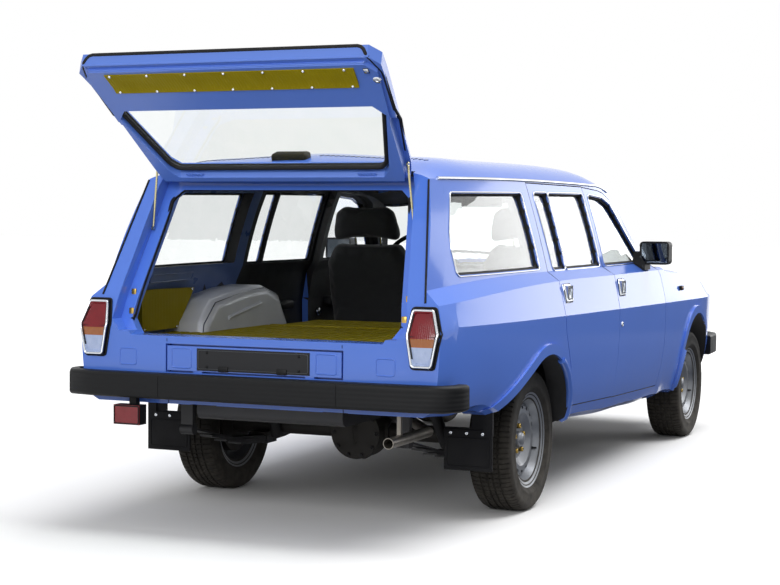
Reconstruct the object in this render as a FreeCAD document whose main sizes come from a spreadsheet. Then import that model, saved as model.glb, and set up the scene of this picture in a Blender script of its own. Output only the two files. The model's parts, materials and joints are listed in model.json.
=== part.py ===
"""Estate car with its tailgate open: a parametric FreeCAD document of its panels, doors, seats and running gear.

Millimetres. The front of the car is towards -Y, its left side is +X, and it stands on Z = 0. Side outlines are
written as (back, height) pairs, where back is the distance rearward of the rear axle.
"""

import FreeCAD, Part
import math
import os
import Sketcher

V = FreeCAD.Vector
OUT = "parts"

# driving dimensions, each kept once in the sheet
SIZES = {
    "wheelbase": 2800,
    "rear_axle_y": 1147,
    "front_track": 1496,
    "rear_track": 1426,
    "tyre_radius": 308,
    "tyre_width": 196,
    "rim_radius": 208,
    "rim_width": 164,
    "rim_wall": 5,
    "slot_count": 16,
    "crease_half_width": 892,
    "shoulder_half_width": 863,
    "belt_half_width": 803,
    "gutter_half_width": 688,
    "crease_height": 844,
    "crease_rake": 0.0135,
    "shoulder_height": 996,
    "belt_height": 1036,
    "gutter_height": 1440,
    "roof_height": 1546,
    "sill_height": 352,
    "sill_rake": 0.0288,
    "door_wall": 56,
    "frame_wall": 34,
    "roof_wall": 26,
    "pillar_wall": 34,
    "door_gap": 5,
    "panel_gap": 5,
    "door_lap": 24,
    "glass_inset": 15,
    "glass_wall": 5,
    "glass_lap": 9,
    "gate_wall": 60,
    "gate_half_top": 576,
    "gate_half_bottom": 650,
    "gate_glass_half_top": 497,
    "gate_glass_half_bottom": 586,
    "gate_hinge_back": 788,
    "gate_hinge_height": 1462,
    "gate_open_angle": 104.5,
    "gate_bottom_height": 812,
    "frame_depth": 105,
    "sill_top_height": 790,
    "lamp_bezel": 14,
    "front_arch_radius": 372,
    "rear_arch_radius": 355,
    "arch_lip_width": 46,
    "arch_lip_proud": 11,
    "floor_height": 395,
    "floor_wall": 18,
    "load_floor_height": 760,
    "load_floor_wall": 22,
    "bonnet_wall": 22,
    "wing_wall": 26,
    "bumper_height": 104,
    "bumper_depth": 62,
    "axle_tube_radius": 38,
    "differential_radius": 132,
    "spring_offset": 500,
    "leaf_width": 62,
    "propshaft_radius": 34,
    "exhaust_radius": 22,
    "steering_wheel_radius": 195,
    "stay_radius": 5,
    "knuckle_offset": 668,
}

doc = FreeCAD.newDocument("EstateCar")
sheet = doc.addObject("Spreadsheet::Sheet", "sizes")
for row, (alias, length) in enumerate(SIZES.items(), start=1):
    sheet.set(f"A{row}", alias)
    sheet.set(f"B{row}", str(length))
    sheet.setAlias(f"B{row}", alias)
doc.recompute()


class Size:
    """A length together with the sheet expression that gives it."""

    def __init__(self, number, text=None):
        self.number = float(number)
        self.text = text if text else repr(float(number))

    def __float__(self):
        return self.number

    def _join(self, sign, other, number):
        other = size(other)
        return Size(number(self.number, other.number), f"({self.text} {sign} {other.text})")

    def __add__(self, other):
        return self._join("+", other, lambda a, b: a + b)

    def __sub__(self, other):
        return self._join("-", other, lambda a, b: a - b)

    def __mul__(self, other):
        return self._join("*", other, lambda a, b: a * b)

    def __truediv__(self, other):
        return self._join("/", other, lambda a, b: a / b)

    def __neg__(self):
        return Size(-self.number, f"(0 - {self.text})")

    def __radd__(self, other):
        return size(other) + self

    def __rsub__(self, other):
        return size(other) - self

    def __rmul__(self, other):
        return size(other) * self


def size(number):
    """A plain number as a Size, and a Size as itself."""
    return number if isinstance(number, Size) else Size(number)


def cell(alias):
    """The Size kept in the sheet under this alias."""
    return Size(getattr(sheet, alias), f"sizes.{alias}")


def number(alias):
    """The plain value kept in the sheet under this alias."""
    return float(getattr(sheet, alias))


AXLE = cell("rear_axle_y")
NODES = {}


def node(label, item):
    """Name a finished document object after the file that holds it."""
    item.Label = label
    NODES[label] = item
    return item


def bind(item, **sizes):
    """Tie properties of a document object to sheet expressions."""
    for name, length in sizes.items():
        length = size(length)
        setattr(item, name, length.number)
        item.setExpression(name, length.text)
    return item


def seat(item, place):
    """Tie a document object's position to sheet expressions."""
    for axis, length in zip("xyz", place):
        item.setExpression(f".Placement.Base.{axis}", size(length).text)
    return item


def box(name, low, high):
    """A bound box from its low corner to its high corner."""
    item = doc.addObject("Part::Box", name)
    length, width, height = (size(b) - size(a) for a, b in zip(low, high))
    bind(item, Length=length, Width=width, Height=height)
    return seat(item, low)


def cylinder(name, base, radius, length, axis=(0, 0, 1)):
    """A bound cylinder that starts at base and runs along axis."""
    item = doc.addObject("Part::Cylinder", name)
    bind(item, Radius=radius, Height=length)
    spin = FreeCAD.Rotation(V(0, 0, 1), V(*axis))
    item.Placement = FreeCAD.Placement(V(0, 0, 0), spin)
    return seat(item, base)


def cone(name, base, radius, far_radius, length, axis=(0, 0, 1)):
    """A bound cone that starts at base and runs along axis."""
    item = doc.addObject("Part::Cone", name)
    bind(item, Radius1=radius, Radius2=far_radius, Height=length)
    spin = FreeCAD.Rotation(V(0, 0, 1), V(*axis))
    item.Placement = FreeCAD.Placement(V(0, 0, 0), spin)
    return seat(item, base)


def fuse(name, *items):
    """The union of document objects."""
    item = doc.addObject("Part::MultiFuse", name)
    item.Shapes = list(items)
    item.Refine = True
    return item


def cut(name, base, *tools):
    """One document object less others."""
    item = doc.addObject("Part::Cut", name)
    item.Base = base
    item.Tool = tools[0] if len(tools) == 1 else group(name + "_tools", *tools)
    return item


def group(name, *items):
    """Document objects kept side by side as one, without joining them."""
    item = doc.addObject("Part::Compound", name)
    item.Links = list(items)
    return item


def feature(name, shape):
    """A document object that holds a shape made with Part's own functions."""
    item = doc.addObject("Part::Feature", name)
    item.Shape = shape
    return item


def flip(shape):
    """The other side's copy of a shape."""
    return shape.mirror(V(0, 0, 0), V(1, 0, 0))


def station(back):
    """The Y of a distance rearward of the rear axle."""
    return float(AXLE) + back


# side outlines and prisms

def shifted(outline, gap):
    """A closed (back, height) outline moved out by gap, corner for corner. Runs either way round."""
    count = len(outline)
    area = sum(
        outline[i][0] * outline[(i + 1) % count][1] - outline[(i + 1) % count][0] * outline[i][1]
        for i in range(count)
    )
    side = 1 if area > 0 else -1
    moved = []
    for i in range(count):
        before, here, after = outline[i - 1], outline[i], outline[(i + 1) % count]
        ends = []
        for start, end in ((before, here), (here, after)):
            run = (end[0] - start[0], end[1] - start[1])
            length = math.hypot(*run)
            ends.append((side * run[1] / length, -side * run[0] / length))
        (ax, az), (bx, bz) = ends
        scale = gap / (1 + ax * bx + az * bz)
        moved.append((here[0] + (ax + bx) * scale, here[1] + (az + bz) * scale))
    return moved


def polygon(points):
    """A closed wire through points."""
    return Part.makePolygon([V(*p) for p in points] + [V(*points[0])])


def side_prism(outline, inner=-1000, outer=1000):
    """A (back, height) outline run across the car from X = inner to X = outer."""
    face = Part.Face(polygon([(inner, station(back), height) for back, height in outline]))
    return face.extrude(V(outer - inner, 0, 0))


def round_prism(back, height, radius, inner, outer):
    """A cylinder across the car."""
    return Part.makeCylinder(radius, outer - inner, V(inner, station(back), height), V(1, 0, 0))


def rear_prism(outline, low=0, high=2400):
    """A (half width, height) outline, given for one side, run along the car between two backs."""
    both = list(outline) + [(-half, height) for half, height in reversed(outline)]
    face = Part.Face(polygon([(half, station(low), height) for half, height in both]))
    return face.extrude(V(0, high - low, 0))


def block(low, high):
    """A plain box between two corners, its Y given as a back."""
    (ax, ay, az), (bx, by, bz) = low, high
    return Part.makeBox(bx - ax, by - ay, bz - az, V(ax, station(ay), az))


# the body's lines: each row gives a station and how far its widths and heights fall short of the largest

CABIN_STATIONS = (
    # back, crease in, shoulder in, belt in, gutter in, shoulder down
    (-2060, 5, 2, 8, 10, 0),
    (-1750, 2, 0, 1, 3, 0),
    (-1500, 1, 0, 0, 1, 0),
    (-1250, 0, 0, 0, 0, 0),
    (-900, 0, 0, 0, 0, 0),
    (-300, 3, 8, 2, 3, 0),
    (250, 13, 17, 14, 15, 12),
    (560, 27, 30, 32, 30, 26),
    (800, 46, 47, 55, 50, 40),
    (950, 66, 70, 80, 62, 50),
    (1080, 96, 100, 106, 76, 58),
    (1160, 118, 122, 124, 86, 64),
)
NOSE_STATIONS = (
    # back, crease in, shoulder in, bonnet edge height, bonnet crown height
    (-2060, 5, 2, 1004, 1040),
    (-2400, 8, 6, 984, 1022),
    (-2800, 16, 18, 950, 986),
    (-3100, 32, 38, 908, 944),
    (-3300, 56, 64, 868, 906),
    (-3520, 112, 120, 810, 850),
)


SIDE_STEPS = (0.0, 0.143, 0.432, 0.705, 1.0)
FRAME_STEPS = (0.0, 0.5, 1.0)
ROOF_STEPS = (0.0, 0.048, 0.2, 0.5, 0.8, 0.952, 1.0)
BONNET_STEPS = (0.0, 0.19, 0.5, 0.81, 1.0)


def lower_side(back, crease_in, shoulder_in, shoulder_height, inset, base_height):
    """The half section from the sill's underside to the shoulder: a vertex list and its curved run."""
    crease = number("crease_half_width") - crease_in
    crease_height = number("crease_height") + number("crease_rake") * back
    tuck = 1.0 - 0.4 * min(1.0, max(0.0, (back - 300) / 700))
    sill = crease - 57 * tuck - inset
    under = (sill - 44, base_height)
    low = base_height + 26
    tucks = (57, 34, 11, 2, 0)
    curve = [
        (crease - out * tuck - inset, low + step * (crease_height - low))
        for out, step in zip(tucks, SIDE_STEPS)
    ]
    shoulder = (number("shoulder_half_width") - shoulder_in - inset, shoulder_height)
    return under, curve, shoulder


def section_edge(back, points, steps):
    """An edge through (half width, height) points in the section at this station, smooth over three or more."""
    ends = [V(half, station(back), height) for half, height in points]
    if len(ends) == 2:
        return Part.makeLine(*ends)
    spline = Part.BSplineCurve()
    spline.interpolate(Points=ends, Parameters=list(steps))
    return spline.toShape()


def section_wire(back, runs, top):
    """A closed section from its left half's runs, each with its steps, and the run over the top."""
    edges = [section_edge(back, points, steps) for points, steps in runs + [top]]
    for points, steps in reversed(runs):
        mirrored = [(-half, height) for half, height in reversed(points)]
        edges.append(section_edge(back, mirrored, [1 - step for step in reversed(steps)]))
    return Part.Wire(edges)


def gutter_line(back):
    """Height of the rain gutter, which arches along the cabin and falls with the screen pillar."""
    arch = 9 * ((back + 400) / 1100) ** 2
    fall = 45 * (max(0.0, -1300 - back) / 300) ** 2
    return number("gutter_height") - arch - fall


def roof_line(back):
    """Height of the roof's crown, which falls to the screen and to the tailgate's hinges."""
    front = 100 * (max(0.0, -1000 - back) / 600) ** 2
    rear = 78 * (max(0.0, back - 420) / 370) ** 2
    return max(number("roof_height") - front - rear, gutter_line(back) + 12)


def cabin_section(row, wall, frame, roof, base):
    """The cabin's section at a station, moved in by the wall below and by the frame above the belt."""
    back, crease_in, shoulder_in, belt_in, gutter_in, shoulder_down = row
    base_height = number("sill_height") + number("sill_rake") * back + base
    if back > 300:
        base_height += 130 * min(1.0, (back - 300) / 300)
    shoulder_height = number("shoulder_height") - shoulder_down - 0.3 * wall
    under, curve, shoulder = lower_side(back, crease_in, shoulder_in, shoulder_height, wall, base_height)
    belt_half = number("belt_half_width") - belt_in
    belt_height = number("belt_height") - 0.8 * shoulder_down * max(0.0, back / 1100)
    gutter_half = number("gutter_half_width") - gutter_in
    gutter_height = gutter_line(back)
    crown = roof_line(back)
    belt = (belt_half - frame, belt_height)
    middle = ((belt_half + gutter_half) / 2 + 5 - frame, (belt_height + gutter_height) / 2)
    gutter = (gutter_half - frame, gutter_height - 0.6 * roof)
    top = (
        gutter,
        (0.93 * (gutter_half - frame), gutter_height + 0.45 * (crown - gutter_height) - roof),
        (0.62 * (gutter_half - frame), gutter_height + 0.84 * (crown - gutter_height) - roof),
        (0, crown - roof),
        (-0.62 * (gutter_half - frame), gutter_height + 0.84 * (crown - gutter_height) - roof),
        (-0.93 * (gutter_half - frame), gutter_height + 0.45 * (crown - gutter_height) - roof),
        (-gutter[0], gutter[1]),
    )
    runs = [([(0, base_height), under], ()), ([under, curve[0]], ()), (curve, SIDE_STEPS)]
    runs += [([curve[-1], shoulder], ()), ([shoulder, belt], ()), ([belt, middle, gutter], FRAME_STEPS)]
    return section_wire(back, runs, (top, ROOF_STEPS))


def cabin_hull(wall=0.0, frame=0.0, roof=0.0, base=0.0):
    """The cabin as one solid, its skin moved in by the thicknesses given."""
    wires = [cabin_section(row, wall, frame, roof, base) for row in CABIN_STATIONS]
    return Part.makeLoft(wires, True, False, False, 3)


def nose_section(row, wall, top):
    """The section of the bonnet and front wings at a station."""
    back, crease_in, shoulder_in, edge_height, crown = row
    base_height = number("sill_height") + number("sill_rake") * back + 0.0
    if back < -2800:
        base_height += 0.22 * (-2800 - back)
    shoulder_height = edge_height - 18 - 0.5 * top
    under, curve, shoulder = lower_side(back, crease_in, shoulder_in, shoulder_height, wall, base_height)
    edge = (number("shoulder_half_width") - shoulder_in - 72 - wall, edge_height - top)
    bonnet = [edge, (0.62 * edge[0], edge_height + 0.7 * (crown - edge_height) - top), (0, crown - top)]
    bonnet += [(-half, height) for half, height in reversed(bonnet[:-1])]
    runs = [([(0, base_height), under], ()), ([under, curve[0]], ()), (curve, SIDE_STEPS)]
    runs += [([curve[-1], shoulder], ()), ([shoulder, edge], ())]
    return section_wire(back, runs, (bonnet, BONNET_STEPS))


def nose_hull(wall=0.0, top=0.0):
    """The bonnet and wings as one solid, its skin moved in by the thicknesses given."""
    wires = [nose_section(row, wall, top) for row in NOSE_STATIONS]
    return Part.makeLoft(wires, True, False, False, 3)


# regions that trim the panels

SCREEN_FOOT = (-1925, 1039)
SCREEN_SLOPE = 1.031
SCREEN_BOW_LOW = 118
SCREEN_BOW_HIGH = 86
COWL_HEIGHT = 1010


def screen_region(behind=0.0, floor=COWL_HEIGHT):
    """Everything in front of the windscreen's bowed, raked surface, moved rearward by behind."""
    wires = []
    for height, bow in ((floor, SCREEN_BOW_LOW), (1640, SCREEN_BOW_HIGH)):
        edge = SCREEN_FOOT[0] + (height - SCREEN_FOOT[1]) * SCREEN_SLOPE + behind
        reach = edge + 0.27 * bow
        arc = Part.Arc(
            V(-900, station(reach), height), V(0, station(edge - bow), height),
            V(900, station(reach), height)
        ).toShape()
        corners = [V(900, station(reach), height), V(900, station(-2700), height)]
        corners += [V(-900, station(-2700), height), V(-900, station(reach), height)]
        wires.append(Part.Wire([arc] + Part.makePolygon(corners).Edges))
    return Part.makeLoft(wires, True, True)


HINGE = (number("gate_hinge_back"), number("gate_hinge_height"))
REAR_LINE = [(HINGE[0] - 47.1, HINGE[1] + 100), HINGE, (1035, 950), (1078, 815), (1079, 640), (1058, 470)]


def rear_region(depth=0.0):
    """Everything behind the car's rear surface, moved forward into the body by depth."""
    outline = REAR_LINE + [(1900, 470), (1900, HINGE[1] + 100)]
    return side_prism(shifted(outline, depth) if depth else outline)


def above_gutter(lift=2.0):
    """Everything over the rain gutter's line."""
    line = [(back, gutter_line(back) + lift) for back in range(-2100, 1201, 150)]
    return side_prism(line + [(1200, 1900), (-2100, 1900)])


# outlines of the doors and windows, in (back, height)

DOOR_LEAN = 0.27

FRONT_DOOR = [
    (-1895, 1036), (-1975, 962), (-2010, 850), (-2012, 600), (-1962, 372), (-1079, 394),
    (-1085, 600), (-1085, 844), (-1076, 996), (-1073, 1036), (-1066, 1424), (-1340, 1411), (-1430, 1400),
    (-1530, 1366),
]
REAR_DOOR = [
    (-1079, 396), (-405, 419), (-392, 480), (-350, 560), (-290, 655), (-232, 760), (-212, 850),
    (-212, 996), (-213, 1036), (-218, 1270), (-225, 1431), (-1066, 1426), (-1073, 1036), (-1076, 996),
    (-1085, 844), (-1085, 600),
]
REAR_EDGE = {"front": range(5, 11), "rear": range(1, 11)}
FRONT_WINDOW = [(-1118, 1042), (-1128, 1386), (-1375, 1371), (-1495, 1338), (-1822, 1042)]
REAR_WINDOW = [(-1026, 1042), (-1032, 1388), (-490, 1386), (-481, 1042)]
REAR_VENT = [(-469, 1042), (-478, 1386), (-286, 1386), (-297, 1042)]
QUARTER_WINDOW = [(-108, 1052), (-116, 1381), (656, 1373), (752, 1215), (768, 1150), (766, 1062),
    (752, 1048)]


def skin_half_width(height):
    """Half width of the body's outer skin at a height, in the cabin's middle."""
    crease = number("crease_half_width")
    knots = [
        (number("crease_height"), crease), (number("shoulder_height"), number("shoulder_half_width")),
        (number("belt_height"), number("belt_half_width")),
        (number("gutter_height"), number("gutter_half_width")),
    ]
    for (low, wide), (high, narrow) in zip(knots, knots[1:]):
        if low <= height <= high:
            return wide + (height - low) / (high - low) * (narrow - wide)
    return crease - 50 * ((number("crease_height") - height) / 450) ** 2


def door_prism(outline, leaning, gap):
    """A door's outline grown by gap and run across the right side, its rear edge leaning in to swing clear."""
    grown = shifted(outline, gap)
    wires = []
    for plane in (1000, 500):
        points = []
        for index, (back, height) in enumerate(grown):
            lean = DOOR_LEAN * (plane - skin_half_width(outline[index][1])) if index in leaning else 0.0
            points.append((-plane, station(back + lean), height))
        wires.append(polygon(points))
    return Part.makeLoft(wires, True, True)


SEAT_GAP = 0.3
door_gap = number("door_gap") / 2
door_wall = number("door_wall")
frame_wall = number("frame_wall")
roof_wall = number("roof_wall")
pillar_depth = door_wall + number("door_gap") + number("pillar_wall")
pillar_frame = frame_wall + number("door_gap") + number("pillar_wall")

outer = cabin_hull()
door_inside = cabin_hull(door_wall, frame_wall, roof_wall, 40)
seat_face = cabin_hull(door_wall + number("door_gap"), frame_wall + number("door_gap"), roof_wall, 40)
cabin_inside = cabin_hull(pillar_depth, pillar_frame, 58, 40)
glass_out = cabin_hull(number("glass_inset"), number("glass_inset"), roof_wall, 40)
glass_depth = number("glass_inset") + number("glass_wall")
glass_in = cabin_hull(glass_depth, glass_depth, roof_wall, 40)
glass_sheet = glass_out.cut(glass_in)

screen = screen_region()
rear_open = rear_region()
frame_zone = rear_region(number("frame_depth"))
over_gutter = above_gutter()


def on_right(shape):
    """The part of a shape on the car's right side."""
    return shape.common(block((-1000, -4200, 0), (0, 1400, 2000)))


def glass_pane(outline, lap):
    """A side window's glass, lapping the panel around it by lap on every edge."""
    return glass_sheet.common(side_prism(shifted(outline, lap), -1000, -300))


def door(outline, leaning, windows):
    """A right-hand door as thick as the real one, with its windows cut and its glass bedded in."""
    shell = outer.cut(door_inside).common(door_prism(outline, leaning, -door_gap))
    panes = [glass_pane(window, number("glass_lap")) for window in windows]
    for window in windows:
        shell = shell.cut(side_prism(window, -1000, -300))
    for pane in panes:
        shell = shell.cut(pane)
    return shell, panes


def handle(back, height, half_width):
    """A square chromed pull with a recess behind its bar."""
    plate = block((-half_width - 9, back - 40, height - 34), (-half_width + 14, back + 40, height + 34))
    recess = block((-half_width - 10, back - 26, height - 24), (-half_width + 4, back + 12, height + 24))
    return plate.cut(recess)


front_door, front_panes = door(FRONT_DOOR, REAR_EDGE["front"], [FRONT_WINDOW])
rear_door, rear_panes = door(REAR_DOOR, REAR_EDGE["rear"], [REAR_WINDOW, REAR_VENT])
front_door = front_door.fuse(handle(-1165, 932, 878))
rear_door = rear_door.fuse(handle(-300, 938, 872))
for part_name, shape in (("door_front", front_door), ("door_rear", rear_door)):
    node(part_name + "_right", feature(part_name + "_right_shape", shape))
    node(part_name + "_left", feature(part_name + "_left_shape", flip(shape)))
for part_name, panes in (("door_glass_front", front_panes), ("door_glass_rear", rear_panes)):
    glass = Part.makeCompound(panes) if len(panes) > 1 else panes[0]
    node(part_name + "_right", feature(part_name + "_right_shape", glass))
    node(part_name + "_left", feature(part_name + "_left_shape", flip(glass)))

# body sides: pillars, sills, cant rails and rear quarters as thick as the real walls

REAR_ARCH = (5, 330)
FRONT_ARCH = (-2805, 350)


def arch_opening(centre, radius, sweep):
    """A wheel arch's opening across the car, the rear one drawn out rearward in a straight line."""
    opening = round_prism(centre[0], centre[1], radius, -1000, 1000)
    below = [(centre[0] - radius, centre[1]), (centre[0] + radius, centre[1])]
    below += [(centre[0] + radius, 100), (centre[0] - radius, 100)]
    opening = opening.fuse(side_prism(below))
    if sweep:
        touch = (centre[0] + radius * math.cos(1.134), centre[1] + radius * math.sin(1.134))
        tail = (590, touch[1] - (590 - touch[0]) * math.tan(math.pi / 2 - 1.134))
        opening = opening.fuse(side_prism([(centre[0], centre[1]), touch, tail, (590, 100),
            (centre[0], 100)]))
    return opening


HEADER_HALF = 560
HINGE_PADS = [(-2011.9, 640), (-2011, 780), (-1085, 640), (-1085, 780)]


def side_shell():
    """The right side from screen pillar to rear frame, with door openings, window and arch cut."""
    shell = on_right(outer.cut(cabin_inside))
    shell = shell.cut(over_gutter).cut(screen).cut(frame_zone)
    shell = shell.cut(block((-755, -2200, 200), (755, 1400, 445))).cut(block((-690, 100, 200),
        (690, 1400, 640)))
    shell = shell.cut(block((-HEADER_HALF, -2200, 1200), (HEADER_HALF, 1400, 1700)))
    for outline, leaning in ((FRONT_DOOR, REAR_EDGE["front"]), (REAR_DOOR, REAR_EDGE["rear"])):
        shell = shell.cut(door_prism(outline, leaning, door_gap).cut(seat_face))
        shell = shell.cut(side_prism(shifted(outline, -number("door_lap")), -1000, -300))
    return shell


def quarter_tail():
    """The cut that lifts the quarter's lower edge behind the rear wheel."""
    return side_prism([(400, 150), (400, 447), (590, 452), (760, 464), (1200, 498), (1200, 150)])


def arch_flare(hull, centre, radius, sweep):
    """The pressed lip round a wheel arch, proud of the side."""
    lip = number("arch_lip_width")
    ring = arch_opening(centre, radius + lip, sweep).cut(arch_opening(centre, radius, sweep))
    return hull.common(ring)


proud_hull = cabin_hull(-number("arch_lip_proud"), 0, 0, 0)
rear_radius = number("rear_arch_radius")
right_side = side_shell()
flare = arch_flare(proud_hull.cut(outer), REAR_ARCH, rear_radius, True)
flare = flare.common(block((-1000, -700, 352), (-700, 700, 900)))
right_side = right_side.cut(arch_opening(REAR_ARCH, rear_radius, True)).cut(quarter_tail())
quarter_pane = glass_pane(QUARTER_WINDOW, number("glass_lap"))
right_side = right_side.cut(side_prism(QUARTER_WINDOW, -1000, -300)).cut(quarter_pane)
right_side = right_side.fuse(flare.cut(quarter_tail()).cut(door_prism(REAR_DOOR, REAR_EDGE["rear"],
    door_gap)))
for back, height in HINGE_PADS:
    right_side = right_side.fuse(block((-872, back - 4, height),
        (-845, back + door_gap - SEAT_GAP, height + 40)))

# windscreen bedded between the pillars

sheet_front = screen_region(20).cut(screen_region(14))
windscreen = sheet_front.common(cabin_hull(20, 20, 18, 40)).common(block((-900, -2200, 1022),
    (900, -1200, 1600)))
right_side = right_side.cut(windscreen)

# roof with its header over the windscreen

roof = outer.cut(door_inside).common(over_gutter).cut(screen).cut(rear_open)
header = outer.common(over_gutter).common(block((-900, -1760, 1300), (900, -1440, 1700)))
header = header.fuse(outer.common(block((-HEADER_HALF, -1760, 1300), (HEADER_HALF, -1440, 1700))))
header = header.cut(cabin_inside).cut(screen)
roof = roof.fuse(header).cut(windscreen)


def clean(shape, smallest=2000.0):
    """A shape without the crumbs that a cut can leave."""
    kept = [solid for solid in shape.Solids if solid.Volume > smallest]
    return kept[0] if len(kept) == 1 else Part.makeCompound(kept)


right_side = clean(right_side)
node("body_side_right", feature("side_right_shape", right_side))
node("body_side_left", feature("side_left_shape", flip(right_side)))

# tailgate, drawn closed on the rear surface and stored open as in the photograph

gate_wall = number("gate_wall")
gate_top, gate_low = number("gate_half_top"), number("gate_half_bottom")
gate_floor = number("gate_bottom_height")


def gate_outline(grow=0.0):
    """Half of the tailgate's outline across the car, its lower corners cut back."""
    top, low = gate_top + grow, gate_low + grow
    floor = gate_floor - grow
    return [(0, HINGE[1] + 60), (top - 40, HINGE[1] + 60), (top, 1400), (low, floor + 46),
        (low - 38, floor), (0, floor)]


def past_hinge(step):
    """Everything on the tailgate's side of a plane through its hinge, step along from it."""
    run = V(0, REAR_LINE[2][0] - HINGE[0], REAR_LINE[2][1] - HINGE[1]).normalize()
    inward = (run.z, -run.y)
    start = (HINGE[0] + run.y * step, HINGE[1] + run.z * step)
    corners = [(start[0] + inward[0] * 300, start[1] + inward[1] * 300)]
    corners.append((start[0] - inward[0] * 500, start[1] - inward[1] * 500))
    corners.append((corners[1][0] + run.y * 1500, corners[1][1] + run.z * 1500))
    corners.append((corners[0][0] + run.y * 1500, corners[0][1] + run.z * 1500))
    return side_prism(corners)


def gate_glass_outline(grow=0.0):
    """Half of the tailgate window's outline across the car."""
    top = number("gate_glass_half_top") + grow
    low = number("gate_glass_half_bottom") + grow
    high, floor = 1412 + grow, 1050 - grow
    return [(0, high), (top - 34, high), (top, high - 34), (low, floor + 45), (low - 42, floor),
        (0, floor)]


gate_open = number("gate_open_angle")
HINGE_POINT = V(0, station(HINGE[0]), HINGE[1])


def opened(shape):
    """A shape of the closed tailgate turned up to where the photograph shows it."""
    return shape.rotated(HINGE_POINT, V(1, 0, 0), gate_open)


gate_slab = rear_region(gate_wall).cut(rear_open)
gate = gate_slab.common(rear_prism(gate_outline())).common(past_hinge(3))
gate = gate.cut(rear_prism(gate_glass_outline()))
gate_sheet = rear_region(31).cut(rear_region(26))
gate_pane = gate_sheet.common(rear_prism(gate_glass_outline(10))).common(past_hinge(12))
gate = gate.cut(gate_pane)
inner_edge = rear_region(gate_wall + 1).cut(rear_region(gate_wall - 15))
gate_rim = rear_prism(gate_outline(2)).cut(rear_prism(gate_outline(-22)))
gate = clean(gate.cut(inner_edge.common(gate_rim)))

# each stay hangs from a pin in a notch of the gate's side, and its lower eye sits on a pin of the rear frame

STAY_ALONG, STAY_DEPTH = 66, 26
STAY_FOOT = (846, 1222)
STAY_EYE, STAY_PIN = 9, 4
gate_run = V(0, REAR_LINE[2][0] - HINGE[0], REAR_LINE[2][1] - HINGE[1]).normalize()
gate_in = V(0, gate_run.z, -gate_run.y)


def gate_side(height, inset):
    """Half width of the closed tailgate's side at a height, less an inset."""
    share = (1400 - height) / (1400 - gate_floor - 46)
    return gate_top + share * (gate_low - gate_top) - inset


def gate_point(along, depth, inset):
    """A point of the closed tailgate from its hinge: along its face, into its depth and in from its side."""
    spot = HINGE_POINT + gate_run * along + gate_in * depth
    return V(gate_side(spot.z, inset), spot.y, spot.z)


NOTCH = ((18, 20), (350, 26))
notch_ends = [gate_point(along, 11, inset) for along, inset in NOTCH]
notch_ends += [gate_point(along, 80, inset) for along, inset in reversed(NOTCH)]
notch_face = Part.Face(Part.makePolygon(notch_ends + notch_ends[:1]))
notch_cut = notch_face.extrude(V(60, 0, 0))
gate = gate.cut(notch_cut).cut(flip(notch_cut))
stay_top = gate_point(STAY_ALONG, STAY_DEPTH, 10)
for side in (1, -1):
    pin = Part.makeCylinder(STAY_PIN, 17, V(side * (stay_top.x - 11), stay_top.y, stay_top.z),
        V(side, 0, 0))
    gate = gate.fuse(pin)
node("tailgate", feature("tailgate_shape", opened(gate)))
node("tailgate_glass", feature("tailgate_glass_shape", opened(gate_pane)))

# rear frame: corner pillars, header, lower panel and the rebate that the tailgate shuts into


def opening_outline():
    """Half of the load opening's outline across the car."""
    low = number("sill_top_height")
    return [(0, 1384), (500, 1384), (538, 1350), (604, low + 60), (560, low), (0, low)]


LAMP_OUTLINE = [(675, 929), (767, 929), (797, 833), (771, 704), (683, 704), (662, 831)]


def lamp_prism(grow=0.0):
    """The left tail lamp's six-sided outline run along the car."""
    points = shifted(LAMP_OUTLINE, grow) if grow else LAMP_OUTLINE
    face = Part.Face(polygon([(half, station(700), height) for half, height in points]))
    return face.extrude(V(0, 600, 0))


frame_band = frame_zone.cut(rear_open)
rear_frame = outer.common(frame_band).cut(roof)
gate_room = number("panel_gap") + 1
rebate = rear_region(gate_wall + gate_room).cut(rear_open).common(rear_prism(gate_outline(gate_room)))
rear_frame = rear_frame.cut(rebate).cut(rear_prism(opening_outline()))
node("roof", feature("roof_shape", clean(roof.cut(rebate.common(past_hinge(-gate_room))))))
hatch_gap = 7.5
HATCH_HALF, HATCH_LOW, HATCH_HIGH = 388, 652, 752
hatch_zone = rear_region(24).cut(rear_open)
hatch = outer.common(hatch_zone).common(block((-HATCH_HALF, 900, HATCH_LOW),
    (HATCH_HALF, 1300, HATCH_HIGH)))
hatch_hole = outer.common(rear_region(24 + hatch_gap)).common(
    block((-HATCH_HALF - hatch_gap, 900, HATCH_LOW - hatch_gap),
        (HATCH_HALF + hatch_gap, 1300, HATCH_HIGH + hatch_gap))
)
rear_frame = rear_frame.cut(hatch_hole)
rear_frame = rear_frame.cut(block((-330, 700, HATCH_LOW + 14), (330, 1300, HATCH_HIGH - 14)))
for half in (-250, 250):
    hatch_foot = block((half - 20, 1058, HATCH_LOW - hatch_gap - 4),
        (half + 20, 1076, HATCH_LOW - SEAT_GAP))
    rear_frame = rear_frame.fuse(hatch_foot)
lamp_room = lamp_prism().common(rear_region(46).cut(rear_region(-16)))
lamp_room = lamp_room.common(cabin_hull(-6, 0, 0, 0))
rear_frame = rear_frame.cut(lamp_room).cut(flip(lamp_room))
rear_frame = rear_frame.common(block((-1000, 500, 498), (1000, 1400, 1700)))
notches = [block((low, 900, 480), (high, 1300, 516)) for low, high in ((170, 290), (-410, -300))]
for notch in notches:
    rear_frame = rear_frame.cut(notch)
stay_foot = V(gate_side(STAY_FOOT[1], 6), station(STAY_FOOT[0]), STAY_FOOT[1])
for side in (1, -1):
    pin = Part.makeCylinder(STAY_PIN, 40, V(side * (stay_foot.x - 5), stay_foot.y, stay_foot.z),
        V(side, 0, 0))
    rear_frame = rear_frame.fuse(pin.cut(rear_frame))
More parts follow.
